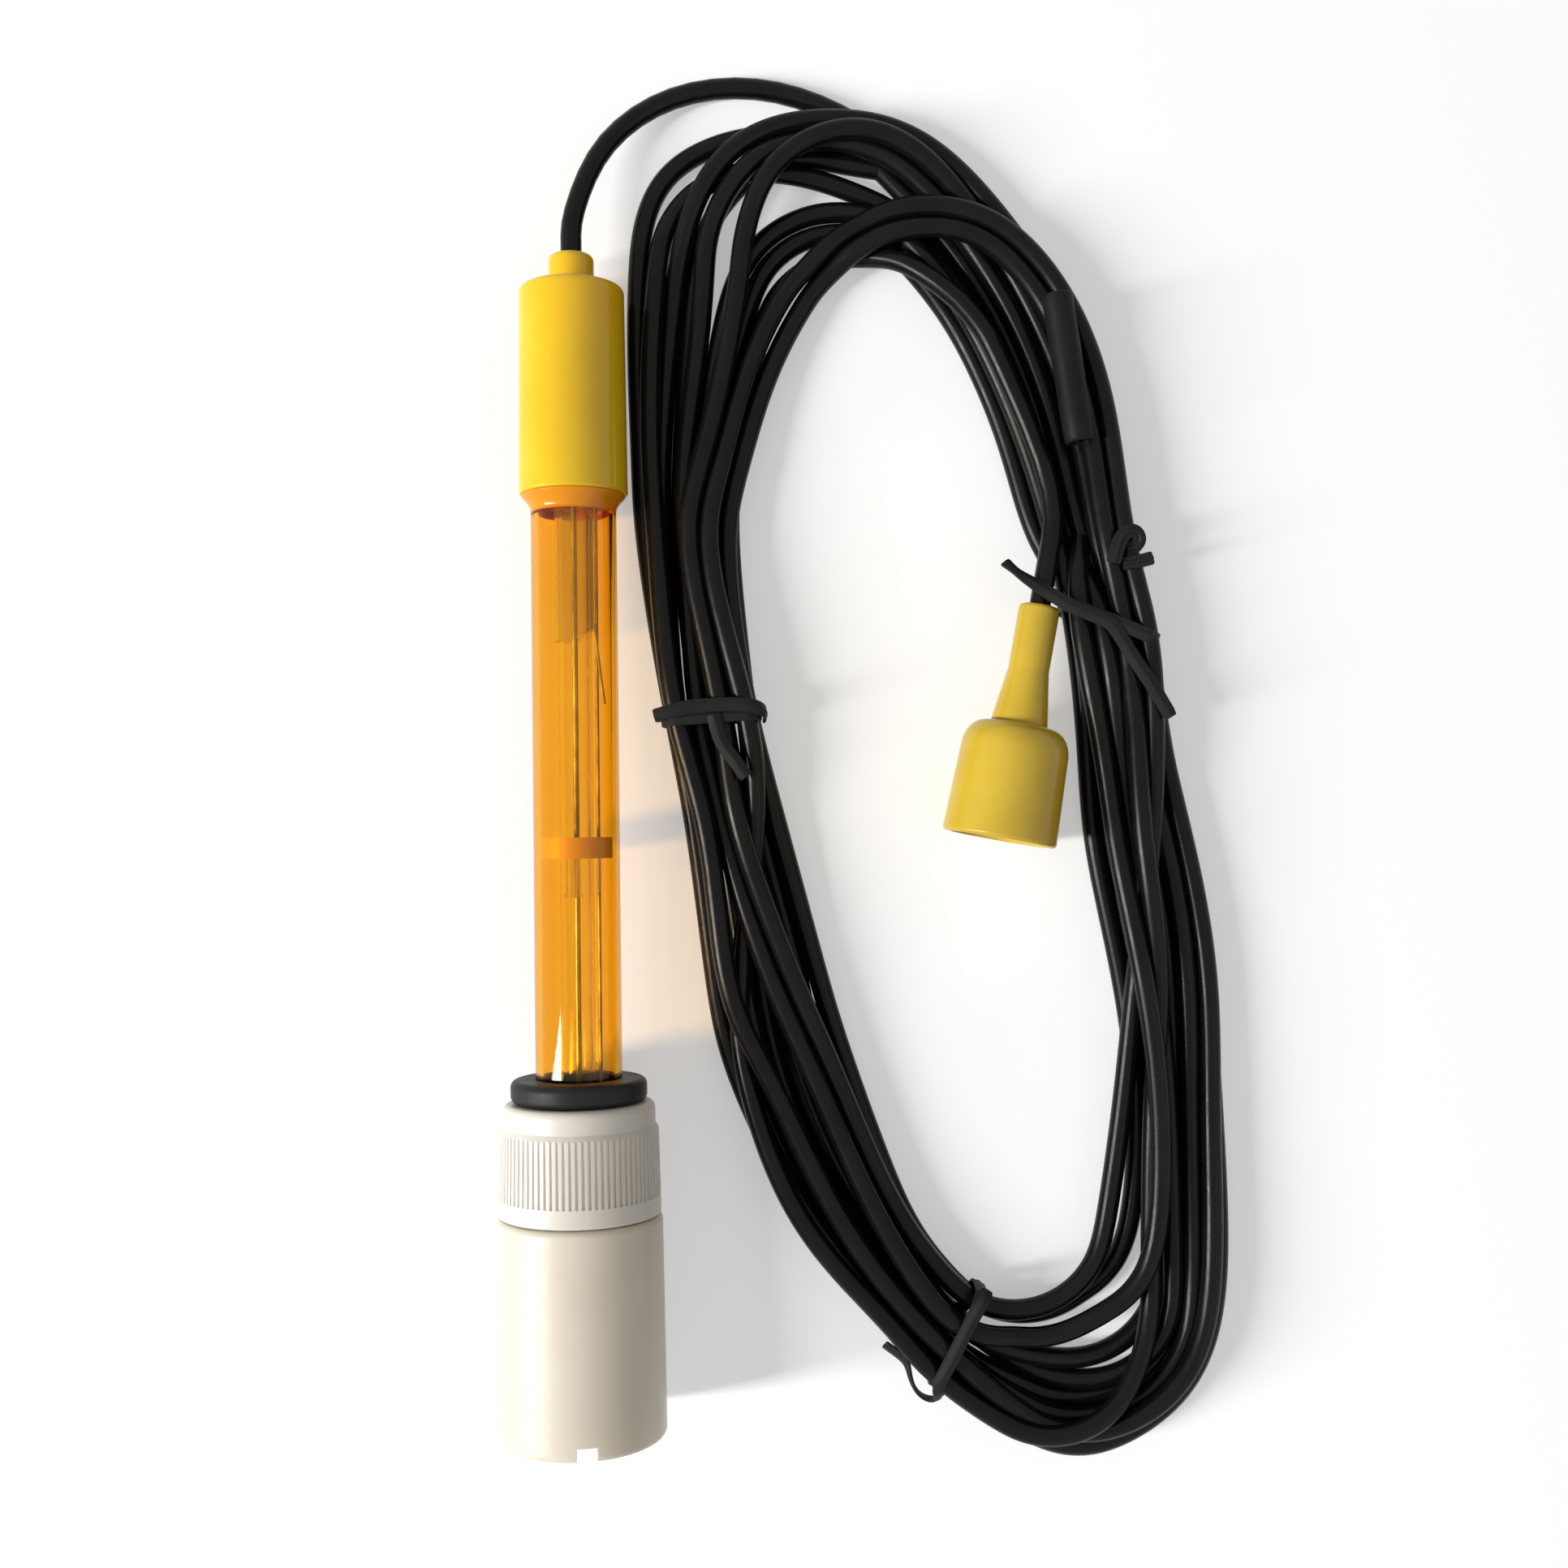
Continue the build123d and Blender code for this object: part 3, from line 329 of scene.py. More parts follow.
FINISH = {
    "body_tube": tube_mat, "tube_cap": yellow_cap, "potting_plug": resin, "tip_plug": resin,
    "glass_stem": glass, "stem_sleeve": soft_clear, "stem_stopper": black_rubber, "inner_wire": silver,
    "reference_wire": silver, "reference_sleeve": soft_clear, "pigtail": silver, "separator": separator_mat,
    "junction_rod": ceramic, "ceramic_junction": ceramic, "collar": black_rubber, "bottle_seal": black_rubber,
    "bottle_lid": white_lid, "bottle": white_bottle, "strain_relief": yellow_vinyl, "bell_sleeve": yellow_vinyl,
    "coupling_nut": nickel, "spring_washer": nickel, "plug_body": nickel, "snap_ring": nickel,
    "crimp_ferrule": nickel, "insulator": insulator_mat, "centre_pin": gold, "front_gasket": gasket_mat,
}
for node, mat in FINISH.items():
    dress(NODES[node], mat)

# Cable

CABLE_D = 3.0 * MM
# Cross lines of the coil in millimetres, clockwise from the top, as outer and inner point. The seventh, the
# seventeenth and the twenty-third lie in the right, bottom and left tie.
STATIONS = [
    ((39.5, 102.6), (42.6, 83.0)), ((51.0, 98.6), (46.0, 82.5)), ((61.5, 88.5), (50.5, 78.0)),
    ((70.7, 75.5), (56.2, 70.2)), ((76.0, 60.0), (62.9, 55.5)), ((78.4, 42.0), (67.0, 42.0)),
    ((82.0, 27.1), (69.4, 31.7)), ((83.8, 12.0), (71.8, 12.0)), ((86.8, -3.0), (73.4, -3.0)),
    ((89.6, -21.0), (75.8, -21.0)),
    ((90.2, -40.0), (75.3, -40.0)), ((90.6, -60.0), (70.5, -60.0)), ((88.0, -76.0), (68.6, -63.2)),
    ((80.5, -85.0), (65.6, -66.4)), ((71.0, -88.9), (62.0, -67.9)), ((63.0, -87.2), (58.6, -67.4)),
    ((49.6, -78.3), (55.6, -65.7)), ((41.2, -69.0), (48.5, -57.6)), ((29.2, -55.0), (43.5, -46.5)),
    ((20.9, -36.5), (38.0, -31.0)), ((18.0, -22.0), (33.8, -17.0)), ((15.2, 0.0), (29.3, 1.0)),
    ((12.1, 18.3), (25.3, 17.3)), ((9.0, 39.5), (22.8, 39.0)), ((8.2, 52.0), (23.8, 52.0)),
    ((8.2, 66.0), (27.8, 65.5)), ((8.6, 79.0), (33.0, 75.5)), ((9.9, 88.6), (35.5, 79.0)),
    ((15.0, 96.6), (37.5, 80.8)), ((26.0, 101.8), (40.0, 82.3)),
]
# Each turn has a name. Between the ties the tables give its share of the way from the inner (0) to the outer
# edge (1) at each cross line, and in a tie they give its slot (column, row). They follow each other clockwise.
TOP_RIGHT = {
    "En": (1.0, 0.9, 0.88, 0.84, 0.82, 0.85), "B": (1.0, 1.0, 0.97, 0.92, 0.9, 0.93),
    "S1": (0.94, 0.92, 0.82, 0.68, 0.62, 0.58), "C": (0.88, 0.8, 0.68, 0.55, 0.48, 0.44),
    "B2": (0.78, 0.66, 0.54, 0.44, 0.36, 0.32), "A": (0.85, 0.62, 0.45, 0.33, 0.25, 0.22),
    "A2": (0.44, 0.3, 0.2, 0.15, 0.12, 0.1), "G": (0.24, 0.15, 0.10, 0.06, 0.02, 0.0),
    "E2": (0.13, 0.05, 0.02, 0.0, 0.02, 0.08), "E1": (-0.07, -0.09, 0.0, 0.08, 0.1, 0.1),
    "D1": (0.13, 0.34, 0.84, 0.99, 1.0, 1.0), "D2": (0.01, 0.16, 0.72, 0.86, 0.84, 0.8),
}
RIGHT_TIE = {
    "En": (3, 0), "D1": (3, 2), "D2": (2, 2), "B": (3, 1), "S1": (2, 1), "C": (2, 0), "A": (1, 2),
    "A2": (1, 1), "B2": (0, 2), "E2": (1, 0), "G": (0, 1),
}
BOTTOM_RIGHT = {
    "D1": (0.85, 0.52, 0.12, -0.01, 0.09, 0.07, 0.03, 0.0, 0.0),
    "D2": (0.62, 0.52, 0.42, 0.36, 0.50, 0.59, 0.74, 0.88, 0.93),
    "G": (0.0, 0.0, 0.12, 0.32, 0.34, 0.14, 0.07, 0.06, 0.07),
    "B2": (0.1, 0.14, 0.24, 0.42, 0.50, 0.30, 0.19, 0.14, 0.14),
    "A2": (0.3, 0.3, 0.38, 0.54, 0.70, 0.74, 0.55, 0.38, 0.31),
    "A": (0.4, 0.42, 0.48, 0.60, 0.74, 0.82, 0.70, 0.53, 0.43),
    "C": (0.6, 0.6, 0.62, 0.70, 0.80, 0.86, 0.81, 0.70, 0.61),
    "S1": (0.7, 0.7, 0.72, 0.76, 0.82, 0.86, 0.88, 0.82, 0.74),
    "B": (1.0, 1.0, 1.0, 0.94, 0.94, 0.94, 0.92, 0.88, 0.82),
    "En": (0.9, 0.9, 0.92, 1.0, 1.0, 0.96, 0.97, 1.0, 0.98),
    "E2": (0.35, 0.5, 0.8, 0.86, 0.9, 0.98, 0.97, 0.94, 0.88),
}
BOTTOM_TIE = {
    "D1": (0, 2), "D2": (3, 2), "G": (0, 1), "B2": (1, 2), "A2": (1, 1), "A": (1, 0), "C": (2, 0),
    "S1": (2, 1), "B": (2, 2), "En": (3, 1), "E2": (3, 0),
}
LEFT = {
    "D2": (1.0, 1.0, 0.92, 0.78, 0.30), "D1": (0.05, 0.1, 0.15, 0.3, 0.5), "G": (0.0, 0.0, 0.0, 0.0, 0.0),
    "B2": (0.3, 0.25, 0.28, 0.4, 0.6), "A2": (0.3, 0.35, 0.3, 0.2, 0.2), "A": (0.4, 0.45, 0.45, 0.4, 0.4),
    "C": (0.6, 0.6, 0.6, 0.55, 0.5), "S1": (0.65, 0.7, 0.75, 0.7, 0.7), "B": (0.7, 0.65, 0.7, 0.9, 0.85),
    "En": (0.95, 0.9, 0.95, 1.0, 1.0), "E2": (0.85, 0.85, 0.85, 0.85, 0.9),
}
LEFT_TIE = {
    "D2": (0, 2), "D1": (1, 2), "G": (0, 1), "B2": (2, 2), "A2": (0, 0), "A": (1, 1), "C": (1, 0),
    "S1": (2, 1), "B": (3, 2), "En": (3, 1), "E2": (3, 0),
}
TOP_LEFT = {
    "A": (1.0, 1.0, 1.03, 1.04, 1.05, 1.06, 1.0), "A2": (0.90, 0.92, 0.94, 0.92, 0.91, 0.86, 0.68),
    "B": (0.80, 0.78, 0.77, 0.78, 0.78, 0.83, 0.96), "B2": (0.62, 0.64, 0.68, 0.71, 0.72, 0.75, 0.84),
    "C": (0.50, 0.52, 0.55, 0.61, 0.65, 0.70, 0.82), "S1": (0.42, 0.32, 0.30, 0.38, 0.44, 0.54, 0.76),
    "D1": (0.30, 0.20, 0.14, 0.11, 0.07, 0.06, 0.08), "D2": (0.06, -0.02, -0.04, -0.04, -0.04, -0.04, -0.03),
    "G": (0.2, 0.25, 0.33, 0.40, 0.38, 0.35, 0.32), "E2": (0.15, 0.2, 0.25, 0.30, 0.28, 0.25, 0.20),
    "E1": (0.05, 0.10, 0.16, 0.20, 0.17, 0.12, 0.03),
}
# Heights in millimetres: of each turn over the top, and of the turns that change theirs on the way to
# the right tie
TOP_HEIGHT = {
    "A": 1.5, "A2": 1.5, "B": 4.2, "B2": 1.6, "C": 3.0, "S1": 7.4, "G": 3.5, "E2": 2.0, "E1": 4.5,
    "D1": 7.4, "D2": 7.4, "En": 1.5,
}
RIGHT_HEIGHT = {
    "S1": (6.8, 5.4, 4.4, 4.2, 4.4, 4.4), "D1": (7.6, 8.2, 8.2, 7.8, 7.4, 7.4),
    "D2": (7.4, 7.6, 7.6, 7.4, 7.4, 7.4),
}
# The order in which the cable runs through the turns
ORDER = ["En", "A", "G", "D2", "D1", "S1", "B2", "C", "E2", "B", "A2", "E1"]
ON_TOP_BELOW = {"D1", "D2"}
ON_TOP_LEFT = {"D2"}
ON_TOP_HEIGHT = 7.5
CABLE_R = 1.5
TIE_FLOOR = 0.6
LAST_COLUMN = 3
ROW_STEP = 2.75
COIL_TOP = 8.4
TIE_TOP = 7.6


def row_height(row):
    """Height of the cable's middle in a row of a tie."""
    return CABLE_R + TIE_FLOOR + ROW_STEP * row


AFTER_RIGHT, AFTER_BOTTOM, AFTER_LEFT = range(3)


def coil_table():
    """Control points of the turns, one per cross line: (share, height), and whether a tie holds them."""
    rows, held = [], []
    for lap, name in enumerate(ORDER):
        last = lap == len(ORDER) - 1
        heights = RIGHT_HEIGHT.get(name, (TOP_HEIGHT[name],) * 6)
        for share, z in list(zip(TOP_RIGHT[name], heights))[: 5 if last else 6]:
            rows.append((share, z))
            held.append(False)
        if last:
            break
        ties = [RIGHT_TIE[name], BOTTOM_TIE[name], LEFT_TIE[name]]
        parts = [BOTTOM_RIGHT[name], LEFT[name], TOP_LEFT[ORDER[lap + 1]]]
        for here, (column, row) in enumerate(ties):
            height = row_height(row)
            rows.append((column / LAST_COLUMN, height))
            held.append(True)
            next_height = TOP_HEIGHT[ORDER[lap + 1]] if here == AFTER_LEFT else row_height(ties[here + 1][1])
            for step, share in enumerate(parts[here], 1):
                blend = step / (len(parts[here]) + 1)
                z = height * (1 - blend) + next_height * blend
                if here == AFTER_RIGHT and name in ON_TOP_BELOW or here == AFTER_BOTTOM and name in ON_TOP_LEFT:
                    z = ON_TOP_HEIGHT
                rows.append((share, z))
                held.append(False)
    return rows, held


FIT_ROUNDS = 6
FIT_STEP = 0.7


def smooth_near(points, fine):
    """Cubic B-spline near the points, with the given number of samples for each span."""
    control = points.copy()
    for _ in range(FIT_ROUNDS):
        on = control.copy()
        on[1:-1] = (control[:-2] + 4 * control[1:-1] + control[2:]) / 6
        control += (points - on) * FIT_STEP
    p = np.vstack([2 * control[0] - control[1], control, 2 * control[-1] - control[-2]])
    out = []
    for k in range(1, len(p) - 2):
        for t in np.arange(fine) / fine:
            out.append(
                ((1 - t) ** 3 * p[k - 1] + (3 * t ** 3 - 6 * t ** 2 + 4) * p[k]
                 + (3 * t + 3 * t ** 2 - 3 * t ** 3 + 1) * p[k + 1] + t ** 3 * p[k + 2]) / 6
            )
    out.append((p[-3] + 4 * p[-2] + p[-1]) / 6)
    return np.array(out)


def soften(values, width):
    """Gaussian smoothing along the cable."""
    reach = int(math.ceil(3 * width))
    kernel = np.exp(-0.5 * (np.arange(-reach, reach + 1) / width) ** 2)
    kernel /= kernel.sum()
    wide = np.pad(values, ((reach, reach), (0, 0)), mode="edge")
    return np.stack([np.convolve(wide[:, j], kernel, "valid") for j in range(values.shape[1])], 1)


APART = 3.02
NEAR_SAMPLES = range(-4, 5)
HIT_SHARE = 0.35


def push_apart(now, lap):
    """How far each sample is pushed by the turns beside it that are nearer than the cable's thickness."""
    push = np.zeros_like(now)
    hits = np.ones(len(now))
    for turns in range(1, len(ORDER)):
        for shift in NEAR_SAMPLES:
            gap = turns * lap + shift
            if gap >= len(now):
                continue
            away = now[:-gap] - now[gap:]
            far = np.sqrt((away ** 2).sum(1))
            first = np.nonzero(far < APART)[0]
            if not len(first):
                continue
            move = away[first] * ((APART - far[first]) * 0.5 / np.maximum(far[first], 1e-6))[:, None]
            np.add.at(push, first, move)
            np.add.at(push, first + gap, -move)
            np.add.at(hits, first, HIT_SHARE)
            np.add.at(hits, first + gap, HIT_SHARE)
    return push / hits[:, None]


LEAST_BEND = 12.8
BEND_BAND = 3
EASE_ROUNDS = 300
EASE_STEP = 0.35


def ease_bends(now):
    """Opens the bends that are tighter than the least radius."""
    for _ in range(EASE_ROUNDS):
        a, b, c = now[:-2], now[1:-1], now[2:]
        ab, bc, ca = (np.linalg.norm(u - v, axis=1) for u, v in ((a, b), (b, c), (c, a)))
        area = np.linalg.norm(np.cross(b - a, c - a), axis=1)
        radius = ab * bc * ca / np.maximum(2 * area, 1e-9)
        tight = np.convolve(np.clip((LEAST_BEND - radius) / BEND_BAND, 0, 1), [0.3, 0.7, 1.0, 0.7, 0.3], "same")
        now[1:-1] += EASE_STEP * np.clip(tight, 0, 1)[:, None] * (0.5 * (a + c) - b)


FINE = 6
LAY_ROUNDS = 300
UNEVEN = 0.02
PUSH = 1.8
PUSH_SPREAD = 1.2
STIFFNESS = 1.5
SINK = 0.02
# Share of its sideways step that the cable keeps in each round, and how much less it keeps in a tie
KEPT = 0.98
KEPT_LESS_IN_TIE = 0.15


def lay_coil():
    """The turns laid by the table, then pushed apart until they lie beside and on each other."""
    rows, held = coil_table()
    count = len(STATIONS)
    points = []
    for k, (share, z) in enumerate(rows):
        outer, inner = (np.array(p) for p in STATIONS[k % count])
        width = np.linalg.norm(outer - inner)
        x, y = inner + (outer - inner) * (CABLE_R + share * (width - 2 * CABLE_R)) / width
        points.append((x, y, z))
    aim = smooth_near(np.array(points), FINE)
    hold = np.repeat(np.array(held, float), FINE)[: len(aim)]
    hold = np.roll(np.concatenate([hold, np.zeros(len(aim) - len(hold))]), -FINE // 2)
    kernel = np.hanning(2 * FINE + 3)
    hold = np.clip(np.convolve(hold, kernel / kernel.sum() * 2, "same"), 0, 1)
    now = aim.copy()
    now[:, :2] += np.random.default_rng(7).normal(0, UNEVEN, (len(aim), 2))
    for _ in range(LAY_ROUNDS):
        off = now - aim + soften(push_apart(now, count * FINE), PUSH_SPREAD) * PUSH
        off[:, :2] *= KEPT - KEPT_LESS_IN_TIE * hold[:, None]
        off[:, 2] -= SINK
        now = aim + soften(off, STIFFNESS)
        now[:, 2] = np.clip(now[:, 2], CABLE_R + TIE_FLOOR * hold, COIL_TOP * (1 - hold) + TIE_TOP * hold)
    ease_bends(now)
    return now


# The cable from the cap to the coil and from the coil to the plug, as in the part's source
lead_route = [
    (0.0, 76.04, 7.39), (0.0, 82.2, 7.2), (0.0, 88.23, 7.01), (4.4, 99.6, 4.3), (14.0, 107.0, 1.9),
    (26.5, 108.3, 1.6), (38.5, 104.2, 1.8), (48.5, 96.0, 3.0),
]
tail_route = [(68.6, 47.4, 6.2), (66.25, 35.39, 6.60), (63.78, 22.64, 7.13)]
# Every second sample of the coil, without the first and last ones, which the lead and the tail take over
coil_points = lay_coil()[9:-4:2]
route = [*lead_route, *coil_points.tolist(), *tail_route]

cable_curve = bpy.data.curves.new("cable", "CURVE")
cable_curve.dimensions = "3D"
cable_curve.bevel_depth = CABLE_D / 2
cable_curve.bevel_resolution = 4
cable_curve.resolution_u = 4
spline = cable_curve.splines.new("NURBS")
spline.points.add(len(route) - 1)
for point, (x, y, z) in zip(spline.points, route):
    point.co = (x * MM, y * MM, z * MM, 1.0)
spline.order_u = 3
spline.use_endpoint_u = True
cable = bpy.data.objects.new("cable", cable_curve)
scene.collection.objects.link(cable)
dress(cable, cable_mat)
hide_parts("cable_lead", "cable_coil", "cable_tail")
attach(cable, "electrode")

# Ties


TIE_WIDE = 2.0
TIE_THICK = 0.45
STRIP_FINE = 7
# Half the ribbon's section, in shares of its half width and half thickness, with the wire's ridge on top
STRIP_HALF = ((0.30, -1.0), (0.88, -1.0), (1.0, -0.35), (1.0, 0.35), (0.88, 0.9), (0.34, 0.95), (0.16, 1.55))
STRIP_SECTION = (
    [(-u, v) for u, v in STRIP_HALF[2::-1]] + list(STRIP_HALF) + [(-u, v) for u, v in STRIP_HALF[:2:-1]]
)
STRIP_END = 0.86
EDGE_ANGLE = math.radians(50)


def strip(name, path, width=TIE_WIDE, thick=TIE_THICK):
    """A flat ribbon with rounded edges and a wire inside, along (x, y, z, nx, ny, nz) in millimetres."""
    rows = smooth_near(np.array(path, float), STRIP_FINE)
    profile = [(u * width / 2, v * thick / 2) for u, v in STRIP_SECTION]
    verts, faces = [], []
    for k, row in enumerate(rows):
        here, normal = Vector(row[:3]), Vector(row[3:]).normalized()
        ahead = Vector(rows[min(k + 1, len(rows) - 1)][:3]) - Vector(rows[max(k - 1, 0)][:3])
        side = ahead.cross(normal).normalized()
        up = side.cross(ahead).normalized()
        shrink = STRIP_END if k in (0, len(rows) - 1) else 1.0
        for u, v in profile:
            verts.append((here + side * u * shrink + up * v * shrink) * MM)
    n = len(profile)
    for k in range(len(rows) - 1):
        for j in range(n):
            a, b = k * n + j, k * n + (j + 1) % n
            faces.append((a, b, b + n, a + n))
    faces.append(tuple(range(n)))
    faces.append(tuple(range((len(rows) - 1) * n, len(rows) * n))[::-1])
    mesh = bpy.data.meshes.new(name)
    mesh.from_pydata(verts, [], faces)
    mesh.update()
    for face in mesh.polygons:
        face.use_smooth = True
    obj = bpy.data.objects.new(name, mesh)
    scene.collection.objects.link(obj)
    edges = obj.modifiers.new("edges", "EDGE_SPLIT")
    edges.split_angle = EDGE_ANGLE
    dress(obj, tie_mat)
    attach(obj, "electrode")
    return obj


RING_CORNER = 2.6
RING_LOW = 0.32
RING_HIGH = 9.35
RING_CROWN = 0.12
RING_SPARE = 0.3


def ring(middle, across, limb_width):
    """Path of a band round a limb of the coil, closed under it."""
    way = Vector((*across, 0.0)).normalized()
    half = limb_width / 2 + RING_SPARE
    path = [(0.0, RING_LOW, -math.pi / 2)]
    for u, z, quarter in (
        (half, RING_LOW, 0), (half, RING_HIGH, 1), (-half, RING_HIGH, 2), (-half, RING_LOW, 3),
    ):
        cu = u - math.copysign(RING_CORNER, u)
        cz = z + RING_CORNER if z == RING_LOW else z - RING_CORNER
        for step in range(4):
            angle = -math.pi / 2 + (quarter + step / 3) * math.pi / 2
            path.append((cu + RING_CORNER * math.cos(angle), cz + RING_CORNER * math.sin(angle), angle))
        if quarter == 1:
            path.append((0.0, RING_HIGH + RING_CROWN, math.pi / 2))
    path.append((-0.2, RING_LOW, 1.5 * math.pi))
    out = []
    for u, z, angle in path:
        place = Vector((*middle, 0.0)) + way * u + Vector((0, 0, z))
        normal = way * math.cos(angle) + Vector((0, 0, math.sin(angle)))
        out.append((*place, *normal))
    return out


def flat(points, z, rise=()):
    """Path of a ribbon that lies flat on the coil at height z, after the heights in rise, seen from above."""
    heights = list(rise) + [z] * (len(points) - len(rise))
    return [(x, y, h, 0.0, 0.0, 1.0) for (x, y), h in zip(points, heights)]


tie_pieces = {
    "tie_left": [
        strip("tie_left_band", ring((18.9, 16.9), (15.2, 0.9), 13.2)),
        strip("tie_left_end", [
            (11.0, 17.0, 9.25, 0.0, 0.0, 1.0), (13.3, 17.6, 9.75, 0.0, 0.0, 1.0),
            (15.9, 18.2, 9.95, 0.0, 0.0, 1.0), (18.5, 18.4, 9.95, 0.0, 0.0, 1.0),
            (21.1, 18.5, 9.95, 0.0, 0.0, 1.0), (23.7, 18.4, 9.85, 0.1, 0.0, 1.0),
            (25.6, 18.0, 9.2, 0.7, 0.1, 0.7), (26.5, 17.4, 8.0, 1.0, 0.1, 0.2),
            (26.4, 16.7, 6.4, 1.0, -0.2, -0.2),
        ]),
        strip("tie_left_tail", flat(
            [(19.3, 17.2), (19.6, 15.9), (20.4, 13.3), (22.1, 10.8), (23.8, 8.3)], 9.45, (9.9, 9.85),
        )),
    ],
    "tie_right": [
        strip("tie_right_band", ring((75.5, 29.4), (4.6, -1.9), 13.4)),
        strip("tie_right_end", [
            (60.6, 38.2, 7.4, 0.3, 0.5, 0.8), (62.2, 36.7, 8.0, 0.4, 0.7, 0.6),
            (64.4, 35.0, 8.7, 0.2, 0.4, 0.9), (68.5, 32.2, 9.7, 0.0, 0.0, 1.0),
            (71.3, 30.8, 9.9, 0.0, 0.0, 1.0), (73.9, 29.7, 9.95, 0.0, 0.0, 1.0),
            (75.3, 28.7, 9.9, 0.0, 0.0, 1.0), (76.6, 26.9, 9.6, 0.0, 0.0, 1.0),
            (78.5, 23.8, 9.5, 0.0, 0.0, 1.0), (80.6, 20.6, 9.5, 0.0, 0.0, 1.0),
            (83.4, 15.9, 9.2, 0.1, 0.0, 1.0),
        ]),
        strip("tie_right_knot", [
            (75.6, 37.6, 9.4, 0.0, 0.0, 1.0), (76.1, 39.6, 9.5, 0.0, 0.0, 1.0),
            (77.0, 41.4, 9.4, 0.1, 0.1, 1.0), (78.5, 42.0, 9.1, 0.3, 0.2, 0.9),
            (79.3, 41.0, 8.8, 0.4, 0.0, 0.9), (78.7, 40.0, 8.5, 0.3, -0.1, 0.9),
            (77.6, 39.6, 8.4, 0.1, 0.0, 1.0),
        ], 2.1, 1.0),
        strip("tie_right_stub", flat([(77.0, 37.5), (78.6, 37.7), (80.0, 38.0), (81.2, 38.3)], 8.85), 1.9, 1.0),
    ],
    "tie_bottom": [
        strip("tie_bottom_band", ring((52.6, -71.4), (6.6, 12.5), 14.2)),
        strip("tie_bottom_loop", [
            (56.6, -64.2, 8.6, 0.4, 0.9, 0.4), (55.9, -65.4, 9.75, 0.0, 0.1, 1.0),
            (54.6, -67.6, 9.95, 0.0, 0.0, 1.0), (52.9, -70.8, 9.95, 0.0, 0.0, 1.0),
            (51.3, -73.9, 9.95, 0.0, 0.0, 1.0), (49.9, -76.4, 9.7, 0.0, 0.0, 1.0),
            (49.6, -78.2, 9.0, 0.3, -0.6, 0.7), (49.8, -79.3, 7.8, 0.5, -0.9, 0.2),
            (48.9, -80.0, 6.8, 0.1, -1.0, 0.0), (47.3, -79.5, 6.6, -0.5, -0.8, 0.0),
            (46.1, -77.7, 6.8, -0.9, -0.5, 0.1), (45.5, -75.7, 7.0, -0.9, -0.3, 0.3),
            (44.9, -74.3, 7.0, -0.6, -0.5, 0.6), (43.6, -73.2, 6.8, -0.4, -0.6, 0.7),
            (42.2, -72.2, 6.6, -0.4, -0.6, 0.7),
        ], 1.8),
    ],
}
for node, made in tie_pieces.items():
    for piece in made:
        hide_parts(node)

# Shrink sleeve, joint under the cap and neck thread

TURNED_SIDES = 48


def turned(name, stops, start, way, mat, body):
    """A turned ring whose section is the closed line of stops (place along the way, radius), in millimetres."""
    way = Vector(way).normalized()
    one = way.orthogonal().normalized()
    two = way.cross(one)
    verts, faces = [], []
    for a, r in stops:
        for j in range(TURNED_SIDES):
            angle = 2 * math.pi * j / TURNED_SIDES
            verts.append((Vector(start) + way * a + (one * math.cos(angle) + two * math.sin(angle)) * r) * MM)
    for k in range(len(stops)):
        for j in range(TURNED_SIDES):
            a, b = k * TURNED_SIDES + j, k * TURNED_SIDES + (j + 1) % TURNED_SIDES
            c, d = (a + TURNED_SIDES) % len(verts), (b + TURNED_SIDES) % len(verts)
            faces.append((a, b, d, c))
    mesh = bpy.data.meshes.new(name)
    mesh.from_pydata(verts, [], faces)
    for face in mesh.polygons:
        face.use_smooth = True
    obj = bpy.data.objects.new(name, mesh)
    scene.collection.objects.link(obj)
    dress(obj, mat)
    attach(obj, body)
    return obj


sleeve_piece = turned(
    "shrink_tube", [
        (0.0, 1.85), (0.0, 2.05), (0.4, 2.16), (1.6, 2.20), (4.0, 2.14), (8.0, 2.20), (12.5, 2.13),
        (17.0, 2.20), (19.4, 2.16), (20.6, 2.06), (21.0, 1.95), (21.0, 1.75), (14.0, 1.62), (7.0, 1.62),
    ], (68.2, 75.4, 9.0), (3.0, -20.8, 0.0), shrink_mat, "electrode",
)
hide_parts("shrink_sleeve")

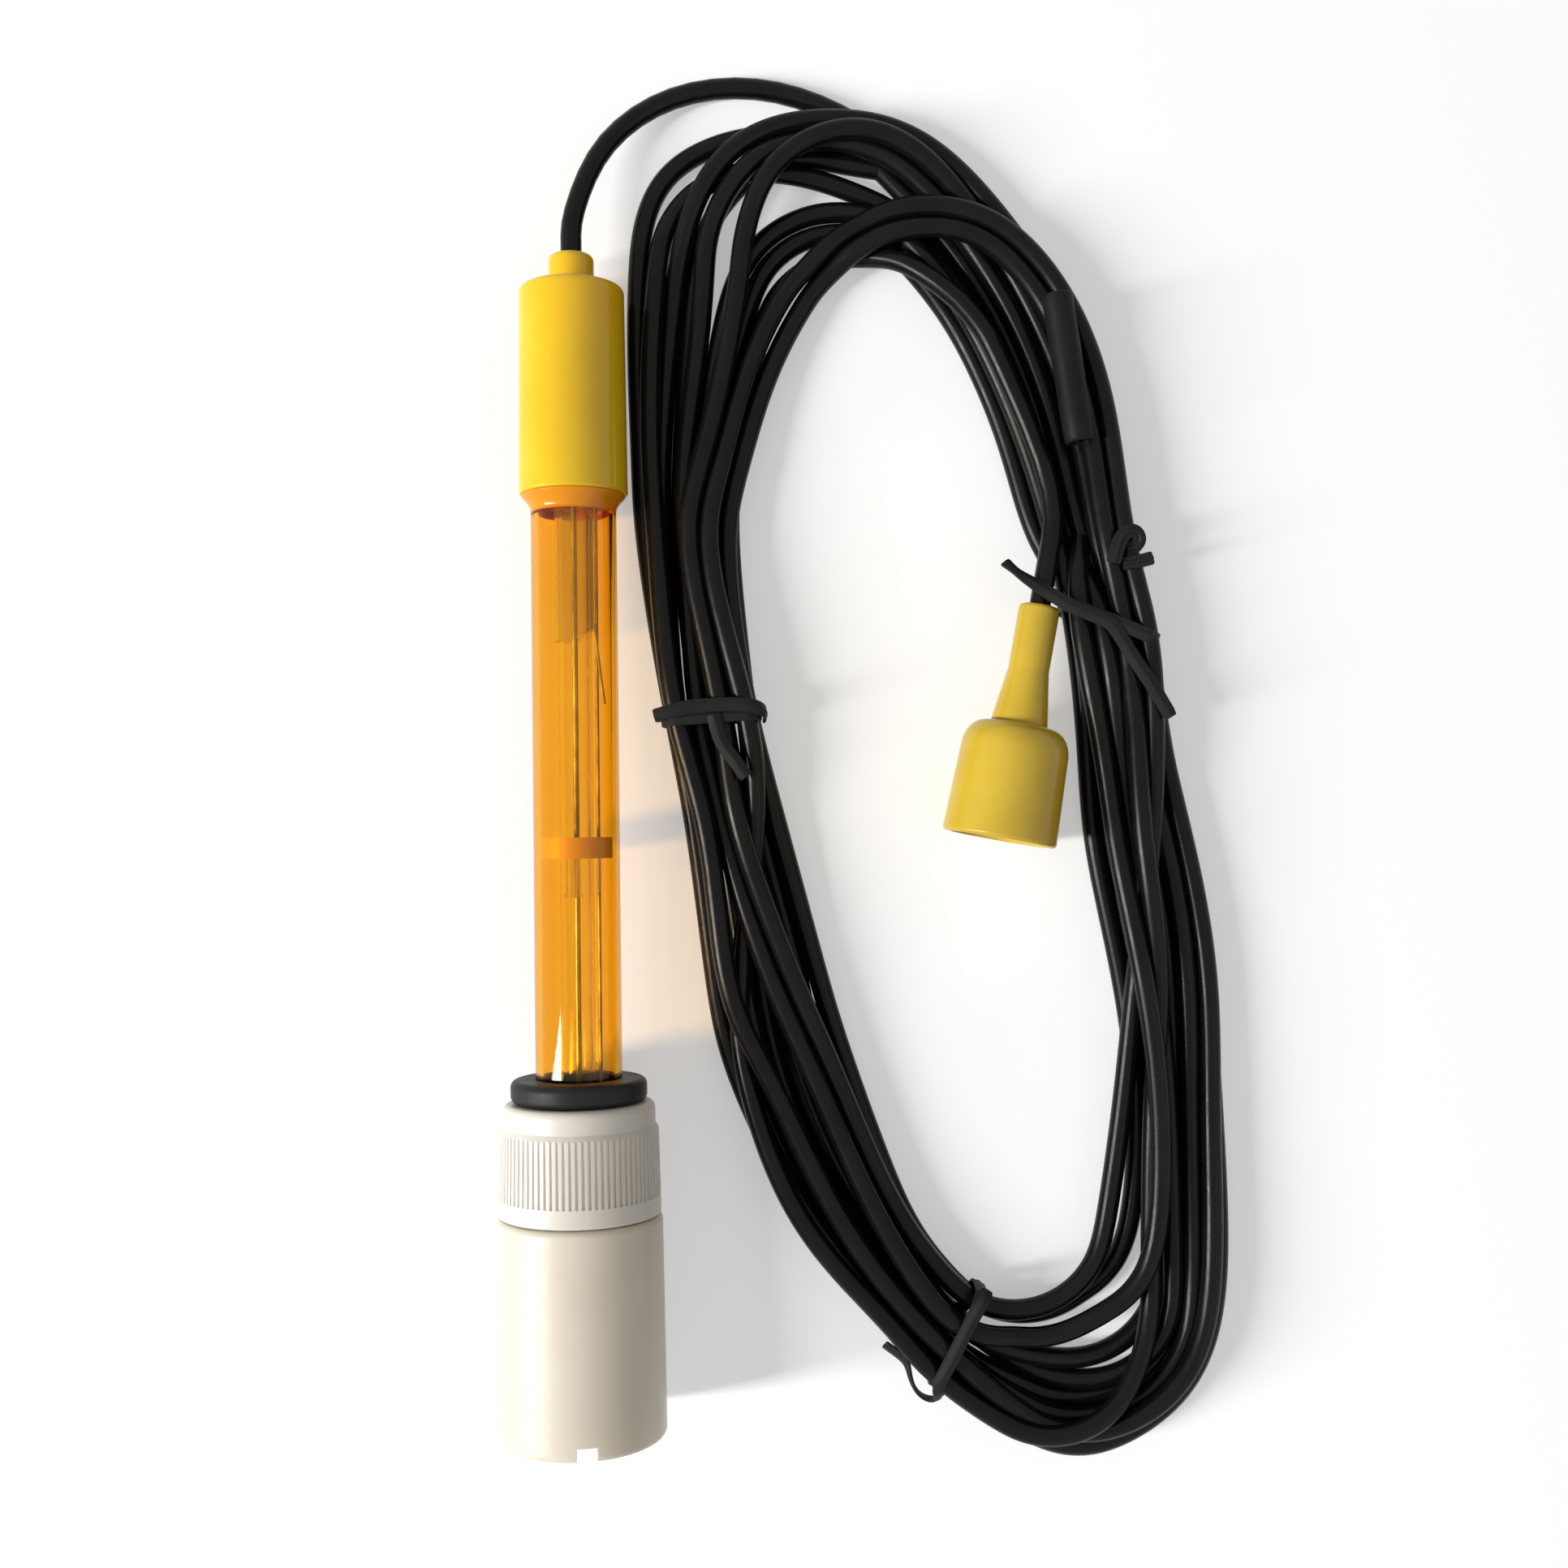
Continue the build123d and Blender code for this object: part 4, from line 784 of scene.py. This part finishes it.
# The electrode's axis, which leans down towards the cap, and where the cap's lower rim is along it
AXIS_Y, AXIS_Z, AXIS_HEIGHT = 0.99952, -0.030981, 9.747
CAP_RIM = 48.15
turned(
    "joint_fillet", [
        (0.0, 7.30), (-0.25, 7.26), (-0.7, 6.90), (-1.1, 6.52), (-1.6, 6.20), (-2.1, 6.03), (-2.6, 5.955),
        (-2.6, 5.93), (0.0, 5.93),
    ], (0.0, CAP_RIM * AXIS_Y, AXIS_HEIGHT + CAP_RIM * AXIS_Z), (0.0, AXIS_Y, AXIS_Z), resin,
    "electrode",
)


def on_axis(a, radius, angle):
    """A point round the electrode's axis, in millimetres."""
    side, lift = radius * math.cos(angle), radius * math.sin(angle)
    return Vector((side, a * AXIS_Y - lift * AXIS_Z, AXIS_HEIGHT + a * AXIS_Z + lift * AXIS_Y))


THREAD_STEPS = 40
THREAD_FADE = 6
THREAD_FOOT, THREAD_CREST, THREAD_SUNK = 0.75, 0.32, 0.15


def neck_thread(first, last, root, crest, pitch):
    """The raised thread on the bottle's neck, from first to last along the axis, with its ends faded out."""
    turns = (last - first) / pitch
    steps = int(turns * THREAD_STEPS)
    foot = root - THREAD_SUNK
    verts, faces = [], []
    for k in range(steps + 1):
        angle = 2 * math.pi * turns * k / steps
        a = first + pitch * turns * k / steps
        fade = min(1.0, k / THREAD_FADE, (steps - k) / THREAD_FADE)
        height = root + (crest - root) * fade
        section = ((-THREAD_FOOT, foot), (-THREAD_CREST, height), (THREAD_CREST, height), (THREAD_FOOT, foot))
        for shift, radius in section:
            verts.append(on_axis(a + shift * max(fade, 0.2), radius, angle) * MM)
    for k in range(steps):
        for j in range(3):
            a = 4 * k + j
            faces.append((a, a + 1, a + 5, a + 4))
    faces += [(3, 2, 1, 0), tuple(4 * steps + j for j in range(4))]
    mesh = bpy.data.meshes.new("neck_thread")
    mesh.from_pydata(verts, [], faces)
    obj = bpy.data.objects.new("neck_thread", mesh)
    scene.collection.objects.link(obj)
    dress(obj, white_bottle)
    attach(obj, "bottle")


neck_thread(first=-50.6, last=-43.6, root=8.88, crest=9.32, pitch=3.0)

# Pieces of the connector, with the shrink sleeve and the ties, gathered in one list

connector_pieces = [
    NODES[n] for n in (
        "strain_relief", "bell_sleeve", "coupling_nut", "spring_washer", "plug_body", "snap_ring", "insulator",
        "centre_pin", "front_gasket", "crimp_ferrule",
    )
]
connector_pieces += [sleeve_piece] + [piece for made in tie_pieces.values() for piece in made]
